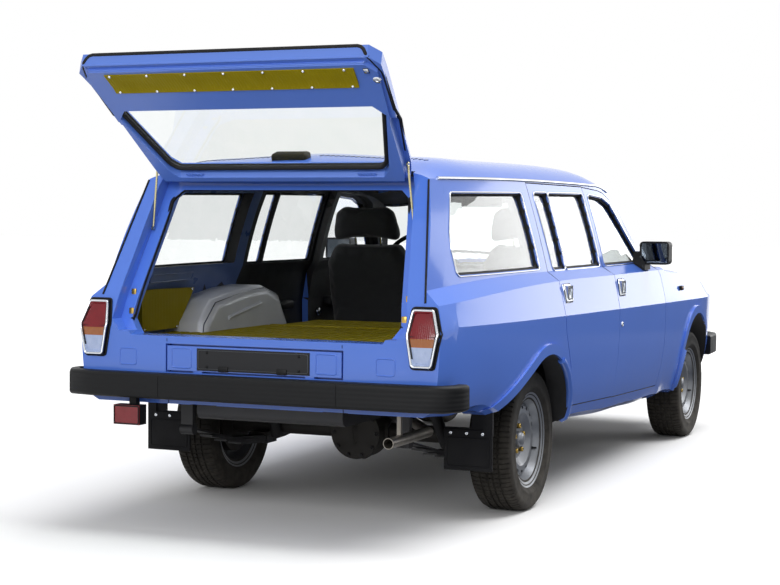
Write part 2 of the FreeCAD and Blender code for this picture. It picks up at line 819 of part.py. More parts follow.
node("rear_frame", feature("rear_frame_shape", clean(rear_frame)))


def stay(side):
    """A tailgate stay as it hangs with the gate open: a rod between two eyes."""
    top = opened(Part.Vertex(stay_top)).Point
    top, foot = V(side * top.x, top.y, top.z), V(side * stay_foot.x, stay_foot.y, stay_foot.z)
    run = foot - top
    start = top + run.normalize() * STAY_EYE * 0.9
    rod_length = (foot - top).Length - 1.8 * STAY_EYE
    rod = Part.makeCylinder(number("stay_radius") - 0.5, rod_length, start, foot - top)
    for eye, sign in ((top, side), (foot, side)):
        ring = Part.makeCylinder(STAY_EYE, 8, V(eye.x - 4 * sign, eye.y, eye.z), V(sign, 0, 0))
        rod = rod.fuse(ring)
    for eye, sign in ((top, side), (foot, side)):
        hole = Part.makeCylinder(STAY_PIN + 0.4, 12, V(eye.x - 6 * sign, eye.y, eye.z), V(sign, 0, 0))
        rod = rod.cut(hole)
    return rod


node("stay_left", feature("stay_left_shape", stay(1)))
node("stay_right", feature("stay_right_shape", stay(-1)))
plate = block((-252, 1000, 655), (252, 1200, 745)).common(rear_region(-6).cut(rear_open))
node("spare_hatch", feature("spare_hatch_shape", hatch.fuse(plate)))

# tail lamps, each a lens in a proud bezel, and the fog lamp under the left corner

lens = lamp_room.common(rear_region(46).cut(rear_region(-9)))
bezel = lamp_room.cut(lamp_prism(-number("lamp_bezel"))).fuse(lens.cut(lamp_prism(-number("lamp_bezel"))))
lamp = lens.fuse(bezel)
fog = block((482, 1086, 428), (604, 1140, 508)).fuse(block((528, 1060, 500), (560, 1090, 545)))
node("rear_lamps", feature("rear_lamps_shape", Part.makeCompound([lamp, flip(lamp)])))
node("fog_lamp", feature("fog_lamp_shape", fog.cut(rear_frame)))

# bonnet, front wings, nose panel, grille and headlamps

NOSE_LINE = [(-3390, 960), (-3430, 905), (-3492, 850), (-3530, 640), (-3515, 420)]
NOSE_BOW = 112


def nose_region(depth=0.0):
    """Everything ahead of the nose's bowed face, moved rearward into the car by depth."""
    wires = []
    for back, height in NOSE_LINE:
        centre = back + depth
        tip = centre + NOSE_BOW * 1.27
        arc = Part.Arc(
            V(-900, station(tip), height), V(0, station(centre), height), V(900, station(tip), height)
        ).toShape()
        corners = [V(900, station(tip), height), V(900, station(-4200), height)]
        corners += [V(-900, station(-4200), height), V(-900, station(tip), height)]
        wires.append(Part.Wire([arc] + Part.makePolygon(corners).Edges))
    low, high = wires[-1].copy(), wires[0].copy()
    low.translate(V(0, 0, -220))
    high.translate(V(0, 60, 120))
    return Part.makeLoft([high] + wires + [low], True, True)


wing_wall = number("wing_wall")
bonnet_wall = number("bonnet_wall")
panel_gap = number("panel_gap")
BONNET_HALF_REAR, BONNET_HALF_FRONT = 742, 668
BONNET_REAR, BONNET_FRONT = -2052, -3392

nose_outer = nose_hull()
nose_inside = nose_hull(wing_wall, bonnet_wall)
nose_ahead = nose_region()
nose_clear = nose_hull(wing_wall, bonnet_wall + 6)


def bonnet_plan(grow=0.0):
    """The bonnet's outline from above, as a prism."""
    rear, front = station(BONNET_REAR + grow), station(BONNET_FRONT - grow)
    wide, narrow = BONNET_HALF_REAR + grow, BONNET_HALF_FRONT + grow
    corners = [(-wide, rear), (wide, rear), (narrow, front + 60), (narrow - 60, front - 20)]
    mid = [(0, front - 62)]
    corners += mid + [(-narrow + 60, front - 20), (-narrow, front + 60)]
    face = Part.Face(polygon([(x, y, 780) for x, y in corners]))
    return face.extrude(V(0, 0, 400))


bonnet = nose_outer.cut(nose_inside).cut(nose_ahead).common(bonnet_plan(-panel_gap / 2))
node("bonnet", feature("bonnet_shape", clean(bonnet)))

front_radius = number("front_arch_radius")
wing = on_right(nose_outer.cut(nose_inside).cut(nose_ahead).cut(bonnet_plan(panel_gap / 2)))
wing = wing.cut(nose_region(46.5)).cut(block((-800, -4000, 0), (800, -2060, 520)))
wing = wing.cut(arch_opening(FRONT_ARCH, front_radius, False))
nose_proud = nose_hull(-number("arch_lip_proud"), 0)
front_flare = arch_flare(nose_proud.cut(nose_outer), FRONT_ARCH, front_radius, False)
front_flare = front_flare.common(block((-1000, -3400, 330), (-700, -2300, 900)))
apron = block((-494, -3300, 440),
    (-478, -2062, 880)).cut(arch_opening(FRONT_ARCH, front_radius - 60, False))
house = round_prism(*FRONT_ARCH, front_radius + 14, -880, -478)
house = house.cut(round_prism(*FRONT_ARCH, front_radius, -1000, -400))
house = house.common(block((-880, -3400, 470), (-478, -2200, 900))).common(nose_clear)
inner_wall = round_prism(*FRONT_ARCH, front_radius + 14, -494, -478).common(
    block((-494, -3400, 620), (-478, -2200, 900))
)
wing = wing.fuse(front_flare).fuse(house).fuse(apron.fuse(inner_wall).common(nose_clear))
bonnet_rest = block((-494, -3180, 800),
    (-478, -3140, 1000)).fuse(block((-494, -2160, 800), (-478, -2120, 1000)))
wing = clean(wing.fuse(bonnet_rest.common(nose_hull(wing_wall, bonnet_wall + SEAT_GAP))))
node("front_wings", feature("front_wings_shape", Part.makeCompound(wing.Solids + flip(wing).Solids)))

HEADLAMP = ((-742, 628), (-452, 812))
GRILLE = ((-446, 620), (446, 818))
nose = nose_outer.common(nose_region(46).cut(nose_ahead)).cut(bonnet_plan(panel_gap / 2))
nose = nose.common(block((-1000, -4000, 430), (1000, -3000, 1000)))
lamp_hole = block((HEADLAMP[0][0], -3800, HEADLAMP[0][1]), (HEADLAMP[1][0], -3000, HEADLAMP[1][1]))
grille_hole = block((GRILLE[0][0], -3800, GRILLE[0][1]), (GRILLE[1][0], -3000, GRILLE[1][1]))
nose = nose.cut(lamp_hole).cut(flip(lamp_hole)).cut(grille_hole)
air_slot = block((-520, -3800, 452), (520, -3000, 500))
nose = nose.cut(air_slot)
node("nose_panel", feature("nose_panel_shape", clean(nose)))

lamp_depth = nose_region(60).cut(nose_region(6))
headlamp = lamp_depth.common(lamp_hole)
node("headlamps", feature("headlamps_shape", Part.makeCompound([clean(headlamp), clean(flip(headlamp))])))


def grille():
    """A frame of upright blades tied by three rails, with slots clear through it."""
    band = nose_region(50).cut(nose_region(8)).common(grille_hole)
    (left, low), (right, high) = GRILLE
    slots = []
    rows = 2
    count = 26
    pitch = (right - left - 24) / count
    rise = (high - low - 12) / rows
    for row in range(rows):
        for index in range(count):
            start = left + 12 + index * pitch
            floor = low + 12 + row * rise
            slots.append(block((start + 4, -3800, floor), (start + pitch - 4, -3000, floor + rise - 12)))
    return band.cut(Part.makeCompound(slots))


node("grille", feature("grille_shape", clean(grille())))

# windows that don't open, bedded in the sides and behind the screen

fixed_glass = Part.makeCompound([windscreen, quarter_pane, flip(quarter_pane)])
node("fixed_windows", feature("fixed_windows_shape", fixed_glass))

# bumpers: a plastic beam bent round each end, with its brackets


REAR_BUMPER = [(838, 972), (838, 1030), (806, 1078), (700, 1094), (392, 1099)]
FRONT_BUMPER = [(826, -3210), (812, -3420), (760, -3500), (560, -3556), (0, -3592)]


def bumper(points, face, low, high, side):
    """A hollow-backed bumper beam between two plan lines, rounded along its long edges."""
    outer_line = [(half + 40 if index < 2 else half + 26, back) for index,
        (half, back) in enumerate(points[:3])]
    outer_line = [(outer_line[0][0], points[0][1]), (outer_line[1][0], points[1][1] + side * 12)]
    outer_line += [(points[2][0] + 24, points[2][1] + side * 40),
        (points[3][0], points[3][1] + side * face)]
    outer_line += [(points[4][0], points[4][1] + side * face)]
    half_ring = list(points) + list(reversed(outer_line))
    if points[4][0] > 0:
        half_ring = list(points) + [(0, points[4][1])] + [(0,
            points[4][1] + side * face)] + list(reversed(outer_line))
    face_shape = Part.Face(polygon([(half, station(back), low) for half, back in half_ring]))
    beam = face_shape.extrude(V(0, 0, high - low))
    beam = beam.fuse(flip(beam)).removeSplitter()
    long_edges = [e for e in beam.Edges if abs(e.BoundBox.ZMax - e.BoundBox.ZMin) < 0.01 and outside(e,
        side)]
    return beam.makeFillet(16, long_edges)


def outside(edge, side):
    """Whether an edge lies on a bumper's outer line and not on the side towards the body."""
    middle = edge.CenterOfMass
    probe = abs(middle.x) > 845 or (middle.y - station(1125 if side > 0 else -3600)) * side > 0
    return probe and edge.Length > 12


rear_bumper = bumper(REAR_BUMPER, 50, 538, 642, 1)
front_bumper = bumper(FRONT_BUMPER, 58, 446, 566, -1)
rear_brackets = [block((half - 30, 1040, 545), (half + 30, 1100, 600)) for half in (-560, 560)]
front_bumper = front_bumper.cut(nose_hull(-3, 0))
front_brackets = [block((half - 28, -3586, 456), (half + 28, -3400, 496)) for half in (-430, 430)]
for bracket in rear_brackets:
    rear_bumper = rear_bumper.fuse(bracket.cut(rear_frame))
for bracket in front_brackets:
    front_bumper = front_bumper.fuse(bracket)
node("rear_bumper", feature("rear_bumper_shape", rear_bumper.cut(rear_frame)))
node("front_bumper", feature("front_bumper_shape", front_bumper))

# floor: a pan with its tunnel, a heel board and the raised rear floor, and the cowl and bulkhead ahead

floor_height, floor_wall = cell("floor_height"), cell("floor_wall")
FLOOR_HALF = 752
COWL_HALF = 712
floor_main = box("floor_main", (-FLOOR_HALF, AXLE - 2040, floor_height),
    (FLOOR_HALF, AXLE - 440, floor_height + floor_wall))
floor_tunnel = cylinder("floor_tunnel", (0, AXLE - 2040, floor_height + 10), 150, 1600, (0, 1, 0))
floor_heel = box("floor_heel", (-FLOOR_HALF, AXLE - 458, floor_height), (FLOOR_HALF, AXLE - 440, 640))
floor_rear = box("floor_rear", (-600, AXLE - 458, 622), (600, AXLE + 960, 640))
tunnel_room = cylinder("tunnel_room", (0, AXLE - 2050, floor_height + 10), 132, 1640, (0, 1, 0))
tunnel_below = box("tunnel_below", (-132, AXLE - 2050, 200), (132, AXLE - 420, floor_height + 10))
under_tunnel = box("under_tunnel", (-200, AXLE - 2050, 200), (200, AXLE - 440, floor_height))
rail_boxes = [
    box(f"floor_rail_{index}", (half - 35, AXLE + start, 350), (half + 35, AXLE + end, floor_height))
    for index, (half, start, end) in enumerate(((-430, -2040, -440), (430, -2040, -440)))
]
rear_rails = [
    box(f"rear_rail_{index}", (half - 35, AXLE - 458, 540), (half + 35, AXLE + 1040, 622))
    for index, half in enumerate((-470, 470))
]
front_rails = [
    box(f"front_rail_{index}", (half - 35, AXLE - 3400, 430), (half + 35, AXLE - 2020, 520))
    for index, half in enumerate((-430, 430))
]
cross_front = box("cross_front", (-395, AXLE - 3380, 440), (395, AXLE - 3320, 510))
cross_rear = box("cross_rear", (-600, AXLE + 980, 540), (600, AXLE + 1040, 640))
bulkhead = box("bulkhead", (-COWL_HALF, AXLE - 2058, floor_height), (COWL_HALF, AXLE - 2040, 1000))
floor_solid = fuse("floor_solid", floor_main, floor_tunnel, floor_heel, floor_rear, *rail_boxes,
    *rear_rails,
                   *front_rails, cross_front, cross_rear, bulkhead)
floor_cut = cut("floor_cut", floor_solid, tunnel_room, tunnel_below, under_tunnel)
doc.recompute()
cowl = block((-COWL_HALF, -2058, 986), (COWL_HALF, -1850, 1004)).cut(windscreen)
floor_shape = clean(floor_cut.Shape.cut(rear_frame).cut(rear_bumper).fuse(cowl))
node("floor", feature("floor_shape", floor_shape))

# load floor: pressed slats from the rear sill to the folded bench, and the bench's own back and cushion

load_height = number("load_floor_height")
load_wall = number("load_floor_wall")
HOUSE_HALF = 572


def slatted(low_back, high_back, half, height, wall, rows):
    """A flat panel with grooves pressed along it, open to above."""
    panel = block((-half, low_back, height - wall), (half, high_back, height))
    pitch = 2 * half / rows
    grooves = [
        block((-half + (index + 0.5) * pitch - 9, low_back + 30, height - 6),
              (-half + (index + 0.5) * pitch + 9, high_back - 30, height + 5))
        for index in range(rows)
    ]
    return panel.cut(Part.makeCompound(grooves))


HOUSING = [(-395, 500), (-395, 765), (-300, 905), (-150, 948), (40, 938), (330, 898), (440, 800),
    (470, 640), (470, 500)]


def wheel_housing(side):
    """The inner wheel housing: a pressed box over the rear wheel, hollow from below."""
    outside_shape = side_prism(HOUSING, HOUSE_HALF, 830)
    inside_shape = side_prism(shifted(HOUSING, -12), HOUSE_HALF + 12, 840).fuse(
        side_prism([(-383, 490), (-383, 520), (458, 520), (458, 490)], HOUSE_HALF + 12, 840)
    )
    pressed = outside_shape.makeFillet(46,
        [e for e in outside_shape.Edges if abs(e.CenterOfMass.x - HOUSE_HALF) < 1
                                            and e.CenterOfMass.z > 560])
    house = pressed.cut(inside_shape).common(cabin_inside)
    return house if side > 0 else flip(house)


housings = [wheel_housing(side) for side in (1, -1)]
housing_room = side_prism(shifted(HOUSING, 1.5), HOUSE_HALF - 2, 900)
load_panel = slatted(-150, 968, 720, load_height, load_wall, 26)
load_panel = load_panel.common(cabin_inside).cut(housing_room).cut(flip(housing_room)).cut(rear_frame)
load_posts = [block((half - 15, 300, 640), (half + 15, 340, load_height - load_wall)) for half in (-400,
    0, 400)]
load_posts += [block((half - 15, 930, 640), (half + 15, 960, load_height - load_wall)) for half in (-400,
    400)]
for post in load_posts:
    load_panel = load_panel.fuse(post)
node("load_floor", feature("load_floor_shape", clean(load_panel)))
housings_clear = [house.cut(floor_shape) for house in housings]
housing_pair = clean(Part.makeCompound(housings_clear), 100000)
node("wheel_housings", feature("wheel_housings_shape", housing_pair))

bench = slatted(-660, -156, 545, load_height - 4, 80, 19)
bench_base = block((-545, -436, 640), (545, -170, load_height - 84))
bench_legs = block((-500, -620, 413), (-470, -590, load_height - 84)).fuse(
    block((470, -620, 413), (500, -590, load_height - 84))
)
node("folded_bench", feature("folded_bench_shape", bench.fuse(bench_base).fuse(bench_legs)))

# front seats: cushion, leaning back and head restraint on runners

SEAT_OFFSET = 430


def padded_block(low, high, soft):
    """A box whose long edges across the car are cut back in two steps."""
    corners = ((low[1], low[2], 1, 1), (high[1], low[2], -1, 1), (high[1], high[2], -1, -1),
        (low[1], high[2], 1, -1))
    outline = []
    for index, (back, height, along, up) in enumerate(corners):
        cuts = [(0, soft), (0.3 * soft, 0.3 * soft), (soft, 0)]
        if index % 2:
            cuts.reverse()
        outline += [(back + along * cut_back, height + up * cut_up) for cut_back, cut_up in cuts]
    return side_prism(outline, low[0], high[0])


def leaned(shape, back, height, angle):
    """A shape turned about a line across the car."""
    return shape.rotated(V(0, station(back), height), V(1, 0, 0), angle)


def seat_shape(offset):
    """One front seat with its back leaned rearward."""
    cushion = padded_block((offset - 250, -1640, 560), (offset + 250, -1150, 690), 45)
    back = leaned(padded_block((offset - 255, -1190, 620), (offset + 255, -1080, 1165), 45), -1135, 640,
        -14)
    rest = leaned(padded_block((offset - 175, -1180, 1180), (offset + 175, -1095, 1350), 36), -1135, 640,
        -14)
    shape = cushion.fuse(back)
    for half in (-70, 70):
        rod = block((offset + half - 6, -1146, 1130), (offset + half + 6, -1134, 1240))
        shape = shape.fuse(leaned(rod, -1135, 640, -14))
    shape = shape.fuse(rest)
    for half in (-200, 200):
        shape = shape.fuse(block((offset + half - 12, -1620, 413), (offset + half + 12, -1180, 575)))
    return shape


seats = Part.makeCompound([seat_shape(SEAT_OFFSET), seat_shape(-SEAT_OFFSET)])
node("front_seats", feature("front_seats_shape", seats))

# instrument panel, steering column and wheel

dash = side_prism([(-2040, 620), (-2040, 985), (-1800, 985), (-1690, 930), (-1700, 780), (-1880, 700)],
    -700, 700)
hood = side_prism([(-1850, 975), (-1830, 1040), (-1720, 1045), (-1675, 1000), (-1700, 900)], 250, 560)
dash = dash.fuse(hood).cut(side_prism([(-1740, 955), (-1690, 1020), (-1600, 1020), (-1600, 900)], 270,
    540))
COLUMN_FOOT = V(400, station(-1950), 830)
COLUMN_TOP = V(400, station(-1600), 1005)
column_run = COLUMN_TOP - COLUMN_FOOT
column = Part.makeCylinder(28, column_run.Length - 20 - SEAT_GAP, COLUMN_FOOT, column_run)
dash = dash.fuse(column).common(block((-740, -2040, 500), (740, -1400, 1040)))
dash = dash.common(cabin_inside).cut(floor_shape)
node("instrument_panel", feature("instrument_panel_shape", clean(dash)))

wheel_run = column_run.normalize()
rim_grip = Part.Face(Part.makePolygon([
    V(number("steering_wheel_radius") + 13 * math.cos(step * math.pi / 3), 0,
        13 * math.sin(step * math.pi / 3))
    for step in range(7)
]))
wheel_rim = rim_grip.revolve(V(0, 0, 0), V(0, 0, 1), 360)
wheel_rim.Placement = FreeCAD.Placement(COLUMN_TOP, FreeCAD.Rotation(V(0, 0, 1), wheel_run))
hub_start = COLUMN_TOP - wheel_run * 20
steering_hub = Part.makeCylinder(52, 34, hub_start, wheel_run)
steering_wheel = wheel_rim.fuse(steering_hub)
across = V(1, 0, 0)
down = wheel_run.cross(across)
for run in (across, across * -1, down if down.z < 0 else down * -1):
    spoke = Part.makeCylinder(11, number("steering_wheel_radius") - 4, COLUMN_TOP, run)
    steering_wheel = steering_wheel.fuse(spoke)
node("steering_wheel", feature("steering_wheel_shape", steering_wheel))

# door mirrors on feet that stand on the doors' shoulders


def door_mirror():
    """A right-hand mirror head on its foot on the door's shoulder, below the front of its window."""
    head = block((-986, -1738, 1032), (-830, -1668, 1152))
    head = head.makeFillet(20, [e for e in head.Edges if e.BoundBox.YLength > 1])
    face = block((-976, -1671, 1042), (-840, -1663, 1142))
    foot = side_prism([(-1762, 1004), (-1650, 1004), (-1650, 1046), (-1682, 1100), (-1722, 1100), (-1762, 1056)],
        -864, -796)
    arm = block((-840, -1720, 1060), (-800, -1684, 1096))
    return head.cut(face).fuse(arm).fuse(foot)


mirror_solids = door_mirror().cut(front_door).cut(front_panes[0]).Solids
mirror_shape = max(mirror_solids, key=lambda solid: solid.Volume)
node("mirror_right", feature("mirror_right_shape", mirror_shape))
node("mirror_left", feature("mirror_left_shape", flip(mirror_shape)))

# wheels: a pressed steel rim with slots and a tyre, drawn as sketches turned about the axle

RIM = cell("rim_radius")
RIM_HALF = cell("rim_width") / 2
RIM_WALL = cell("rim_wall")
TYRE = cell("tyre_radius")
TYRE_HALF = cell("tyre_width") / 2


def plane_of(body, role):
    """The body's own origin plane with this role."""
    return next(item for item in body.Origin.OriginFeatures if item.Role == role)


def bound_sketch(body, name, role, points):
    """A closed sketch whose every corner is tied to the sheet, each point a pair of Sizes."""
    sketch = body.newObject("Sketcher::SketchObject", name)
    sketch.AttachmentSupport = (plane_of(body, role), [""])
    sketch.MapMode = "FlatFace"
    corners = [(size(across), size(up)) for across, up in points]
    count = len(corners)
    for index in range(count):
        (ax, ay), (bx, by) = corners[index], corners[(index + 1) % count]
        sketch.addGeometry(Part.LineSegment(V(ax.number, ay.number, 0), V(bx.number, by.number, 0)),
            False)
    for index in range(count):
        sketch.addConstraint(Sketcher.Constraint("Coincident", index, 2, (index + 1) % count, 1))
    for index, (across, up) in enumerate(corners):
        for kind, length in (("DistanceX", across), ("DistanceY", up)):
            held = sketch.addConstraint(Sketcher.Constraint(kind, -1, 1, index, 1, length.number))
            if length.text != repr(length.number):
                sketch.setExpression(f"Constraints[{held}]", length.text)
    return sketch


def rim_profile():
    """Half section of the wheel: the tyre's bed, then the disc from its bowl to the hub hole."""
    bed = [(-RIM_HALF, RIM), (-RIM_HALF + RIM_WALL, RIM), (-RIM_HALF + 12, RIM - 18), (-18, RIM - 38)]
    bed += [(22, RIM - 38), (RIM_HALF - 12, RIM - 18), (RIM_HALF - RIM_WALL, RIM), (RIM_HALF, RIM)]
    disc = [(RIM_HALF - 9, RIM - 23), (28, RIM - 44), (48, RIM - 64), (48, RIM - 92), (24, RIM - 126)]
    disc += [(24, 32), (18, 32), (18, RIM - 124), (42, RIM - 90), (42, RIM - 66), (16, RIM - 44)]
    back = [(-22, RIM - 44), (-RIM_HALF + 9, RIM - 23)]
    return bed + disc + back


def tyre_profile():
    """Half section of the tyre from bead to bead over its tread."""
    side = [(70, RIM - 16), (75, RIM + 1), (TYRE_HALF, RIM + 46), (TYRE_HALF - 7, TYRE - 13),
        (TYRE_HALF - 28, TYRE)]
    return side + [(-size(across), up) for across, up in reversed(side)]


def turned_body(name, points):
    """A body made by turning a sketch about the body's own X axis."""
    body = doc.addObject("PartDesign::Body", name)
    sketch = bound_sketch(body, name + "_profile", "XZ_Plane", points)
    spin = body.newObject("PartDesign::Revolution", name + "_turned")
    spin.Profile = sketch
    spin.ReferenceAxis = (sketch, ["H_Axis"])
    spin.Angle = 360
    return body


def slot_ring(body, name):
    """The ring of slots round the disc of a rim."""
    half, low, high = 10, RIM - 74, RIM - 62
    sketch = bound_sketch(body, name + "_slot", "YZ_Plane",
        [(-half, low), (half, low), (half + 2, high), (-half - 2, high)])
    pocket = body.newObject("PartDesign::Pocket", name + "_pocket")
    pocket.Profile = sketch
    pocket.Type = 1
    pocket.Midplane = True
    ring = body.newObject("PartDesign::PolarPattern", name + "_slots")
    ring.Originals = [pocket]
    ring.Axis = (sketch, ["N_Axis"])
    ring.Angle = 360
    ring.Occurrences = int(number("slot_count"))
    body.Tip = ring
    return body


rim_body = slot_ring(turned_body("rim_master", rim_profile()), "rim")
tyre_body = turned_body("tyre_master", tyre_profile())
doc.recompute()
WHEELS = {
    "rear_left": (cell("rear_track") / 2, AXLE, 1),
    "rear_right": (-cell("rear_track") / 2, AXLE, -1),
    "front_left": (cell("front_track") / 2, AXLE - cell("wheelbase"), 1),
    "front_right": (-cell("front_track") / 2, AXLE - cell("wheelbase"), -1),
}


def wheel_copy(label, master, place, side):
    """A copy of a wheel's body at one corner of the car, its face outward."""
    copy = feature(label + "_shape", master.Shape)
    copy.Placement = FreeCAD.Placement(V(0, 0, 0), FreeCAD.Rotation(V(0, 0, 1), 0 if side > 0 else 180))
    seat(copy, place)
    return node(label, copy)


for corner, (across, along, side) in WHEELS.items():
    place = (across, along, TYRE)
    wheel_copy("rim_" + corner, rim_body, place, side)
    wheel_copy("tyre_" + corner, tyre_body, place, side)

# rear axle: tubes, a ball-shaped differential with its cover, drums and wheel studs' faces

HUB_FACE = 17.5
rear_half = cell("rear_track") / 2
axle_tube = cylinder("axle_tube", (-rear_half + 60, AXLE, TYRE), cell("axle_tube_radius"),
    rear_half * 2 - 120, (1, 0, 0))
DIFFERENTIAL_X = -14
axle_left = cone("axle_left", (DIFFERENTIAL_X, AXLE, TYRE), cell("differential_radius"), 50, 130,
    (1, 0, 0))
axle_right = cone("axle_right", (DIFFERENTIAL_X, AXLE, TYRE), cell("differential_radius"), 50, 130,
    (-1, 0, 0))
axle_nose = cone("axle_nose", (DIFFERENTIAL_X, AXLE, TYRE + 10), 105, 55, 225, (0, -1, 0))
axle_cover = cylinder("axle_cover", (DIFFERENTIAL_X, AXLE, TYRE), 118, 120, (0, 1, 0))
axle_parts = [axle_tube, axle_left, axle_right, axle_nose, axle_cover]
for side in (1, -1):
    tag = "left" if side > 0 else "right"
    drum_start = rear_half - 62 if side > 0 else -rear_half - HUB_FACE
    axle_parts.append(cylinder(f"drum_{tag}", (drum_start, AXLE, TYRE), 135, 62 + HUB_FACE, (1, 0, 0)))
    hub_start = rear_half + HUB_FACE if side > 0 else -rear_half - HUB_FACE - 26
    axle_parts.append(cylinder(f"hub_{tag}", (hub_start, AXLE, TYRE), 31, 26, (1, 0, 0)))
    seat_low = cell("spring_offset") * side
    axle_parts.append(box(f"spring_seat_{tag}", (seat_low - 40, AXLE - 70, TYRE - 48),
        (seat_low + 40, AXLE + 70, TYRE - 30)))
rear_axle = fuse("rear_axle_solid", *axle_parts)
node("rear_axle", rear_axle)


def leaf_spring(side):
    """A leaf spring under the axle: an arched main leaf with eyes and shorter leaves below it."""
    middle = number("spring_offset") * side
    width = number("leaf_width")
    pack = None
    for index, reach in enumerate((700, 560, 430, 300)):
        sag = 0.00022 * reach * reach
        base = number("tyre_radius") - 48 - index * 7
        points = [(-reach, base + sag), (-reach / 2, base + sag / 4), (0, base),
            (reach / 2, base + sag / 4), (reach, base + sag)]
        low = [(back, height - 8) for back, height in reversed(points)]
        leaf = side_prism(points + low, middle - width / 2, middle + width / 2)
        pack = leaf if pack is None else pack.fuse(leaf)
    for back in (-712, 712):
        pack = pack.fuse(round_prism(back, 365, 24, middle - width / 2, middle + width / 2))
    clamp = block((middle - 36, -48, number("tyre_radius") - 84),
        (middle + 36, 48, number("tyre_radius") - 50))
    hanger = block((middle - 28, -735, 365), (middle + 28, -690, 396))
    shackle = block((middle - 28, 700, 365), (middle + 28, 726, 540))
    return pack.fuse(clamp).fuse(hanger).fuse(shackle)


doc.recompute()
leaf_springs = clean(Part.makeCompound([leaf_spring(1),
    leaf_spring(-1)]).cut(rear_axle.Shape).cut(floor_shape))
node("leaf_springs", feature("leaf_springs_shape", leaf_springs))

# engine as one plain block at its real place, gearbox behind it and the shaft to the rear axle

engine = box("engine_block", (-170, AXLE - 3090, 330), (170, AXLE - 2440, 830))
gearbox = cone("gearbox", (0, AXLE - 2440, 430), 150, 70, 560, (0, 1, 0))
radiator = box("radiator_core", (-300, AXLE - 3300, 515), (300, AXLE - 3230, 850))
hose = cylinder("radiator_hose", (0, AXLE - 3240, 760), 30, 155, (0, 1, 0))
engine_foot = box("engine_foot", (-400, AXLE - 2800, 440), (400, AXLE - 2740, 480))
shaft_start, shaft_end = V(0, station(-1885), 430), V(-14, station(-218), float(TYRE) + 14)
shaft = cylinder("propshaft", (0, AXLE - 1885, 430), cell("propshaft_radius"),
    (shaft_end - shaft_start).Length)
shaft.Placement = FreeCAD.Placement(shaft_start, FreeCAD.Rotation(V(0, 0, 1), shaft_end - shaft_start))
powertrain = fuse("powertrain_solid", engine, gearbox, radiator, hose, engine_foot)
doc.recompute()
moving_line = powertrain.Shape.fuse(shaft.Shape).cut(floor_shape).cut(rear_axle.Shape)
node("powertrain", feature("powertrain_shape", clean(moving_line)))


def pipe(points, radius):
    """A round pipe through points, mitred at each bend."""
    ring = Part.Wire([Part.makeCircle(radius, points[0], points[1] - points[0])])
    return Part.makePolygon(points).makePipeShell([ring], True, False, 1)


exhaust_route = [
    V(190, station(-2500), 400), V(190, station(-2300), 330), V(260, station(-1900), 300),
    V(260, station(-600), 330), V(250, station(-250), 440), V(-330, station(-160), 470),
    V(-345, station(250), 450),
    V(-400, station(400), 415), V(-562, station(610), 400), V(-562, station(1020), 400),
]
exhaust = pipe(exhaust_route, number("exhaust_radius"))
bore = Part.makeCylinder(number("exhaust_radius") - 2.5, 160, exhaust_route[-1],
    exhaust_route[-2] - exhaust_route[-1])
muffler = block((190, -1500, 270), (330, -900, 370))
muffler = muffler.makeFillet(40, [e for e in muffler.Edges if abs(e.BoundBox.XMax - e.BoundBox.XMin) < 1
                                  and abs(e.BoundBox.ZMax - e.BoundBox.ZMin) < 1])
hangers = [block((252, -1320, 365), (268, -1300, 400)), block((-570, 900, 405), (-554, 916, 640)),
           block((252, -640, 340), (268, -620, 400))]
for hanger in hangers:
    exhaust = exhaust.fuse(hanger)
exhaust = exhaust.fuse(muffler).cut(bore).cut(floor_shape).cut(rear_axle.Shape).cut(moving_line)
node("exhaust", feature("exhaust_shape", clean(exhaust)))

tank = padded_block((-330, 540, 440), (330, 940, 622), 30)
node("fuel_tank", feature("fuel_tank_shape", clean(tank.cut(floor_shape))))


FLAP_TOP = 482


def mud_flap(side):
    """A rubber flap with its bracket behind a rear wheel."""
    flap = block((600, 520, 238), (812, 527, 405)).fuse(block((600, 512, 385), (812, 520, 412)))
    flap = flap.fuse(block((770, 512, 400), (812, 527, FLAP_TOP)))
    flap = flap.fuse(block((720, 512, 405), (812, 520, 470))).cut(right_side).cut(flip(right_side))
    return flap if side > 0 else flip(flap)


node("mud_flaps", feature("mud_flaps_shape", clean(Part.makeCompound([mud_flap(1), mud_flap(-1)]))))


def rear_damper(side):
    """A telescopic damper from the spring seat up to the rear floor."""
    foot, top = V(side * 420, station(40), 268), V(side * 380, station(260), 622)
    lower = Part.makeCylinder(26, (top - foot).Length * 0.55, foot, top - foot)
    upper = Part.makeCylinder(34, (top - foot).Length * 0.5, foot + (top - foot) * 0.5, top - foot)
    return lower.fuse(upper)


dampers = Part.makeCompound([rear_damper(1), rear_damper(-1)])
dampers = dampers.cut(floor_shape).cut(rear_axle.Shape).cut(exhaust).cut(leaf_springs)
node("rear_dampers", feature("rear_dampers_shape", clean(dampers)))

# front suspension: cross beam, wishbones and springs; each knuckle turns on its upright and carries a hub

front_half = cell("front_track") / 2
PIVOT = cell("knuckle_offset")
FRONT_AXLE = AXLE - cell("wheelbase")
front_beam = box("front_beam", (-330, FRONT_AXLE - 60, 250), (330, FRONT_AXLE + 60, 330))
beam_ends = [box(f"beam_tower_{i}", (low, FRONT_AXLE - 70, 330), (low + 90, FRONT_AXLE + 70, 430))
             for i, low in enumerate((-440, 350))]
beam_feet = [box(f"beam_foot_{i}", (low, FRONT_AXLE - 70, 250), (low + 110, FRONT_AXLE + 70, 340))
             for i, low in enumerate((-440, 330))]
front_parts = [front_beam, *beam_ends, *beam_feet]
doc.recompute()


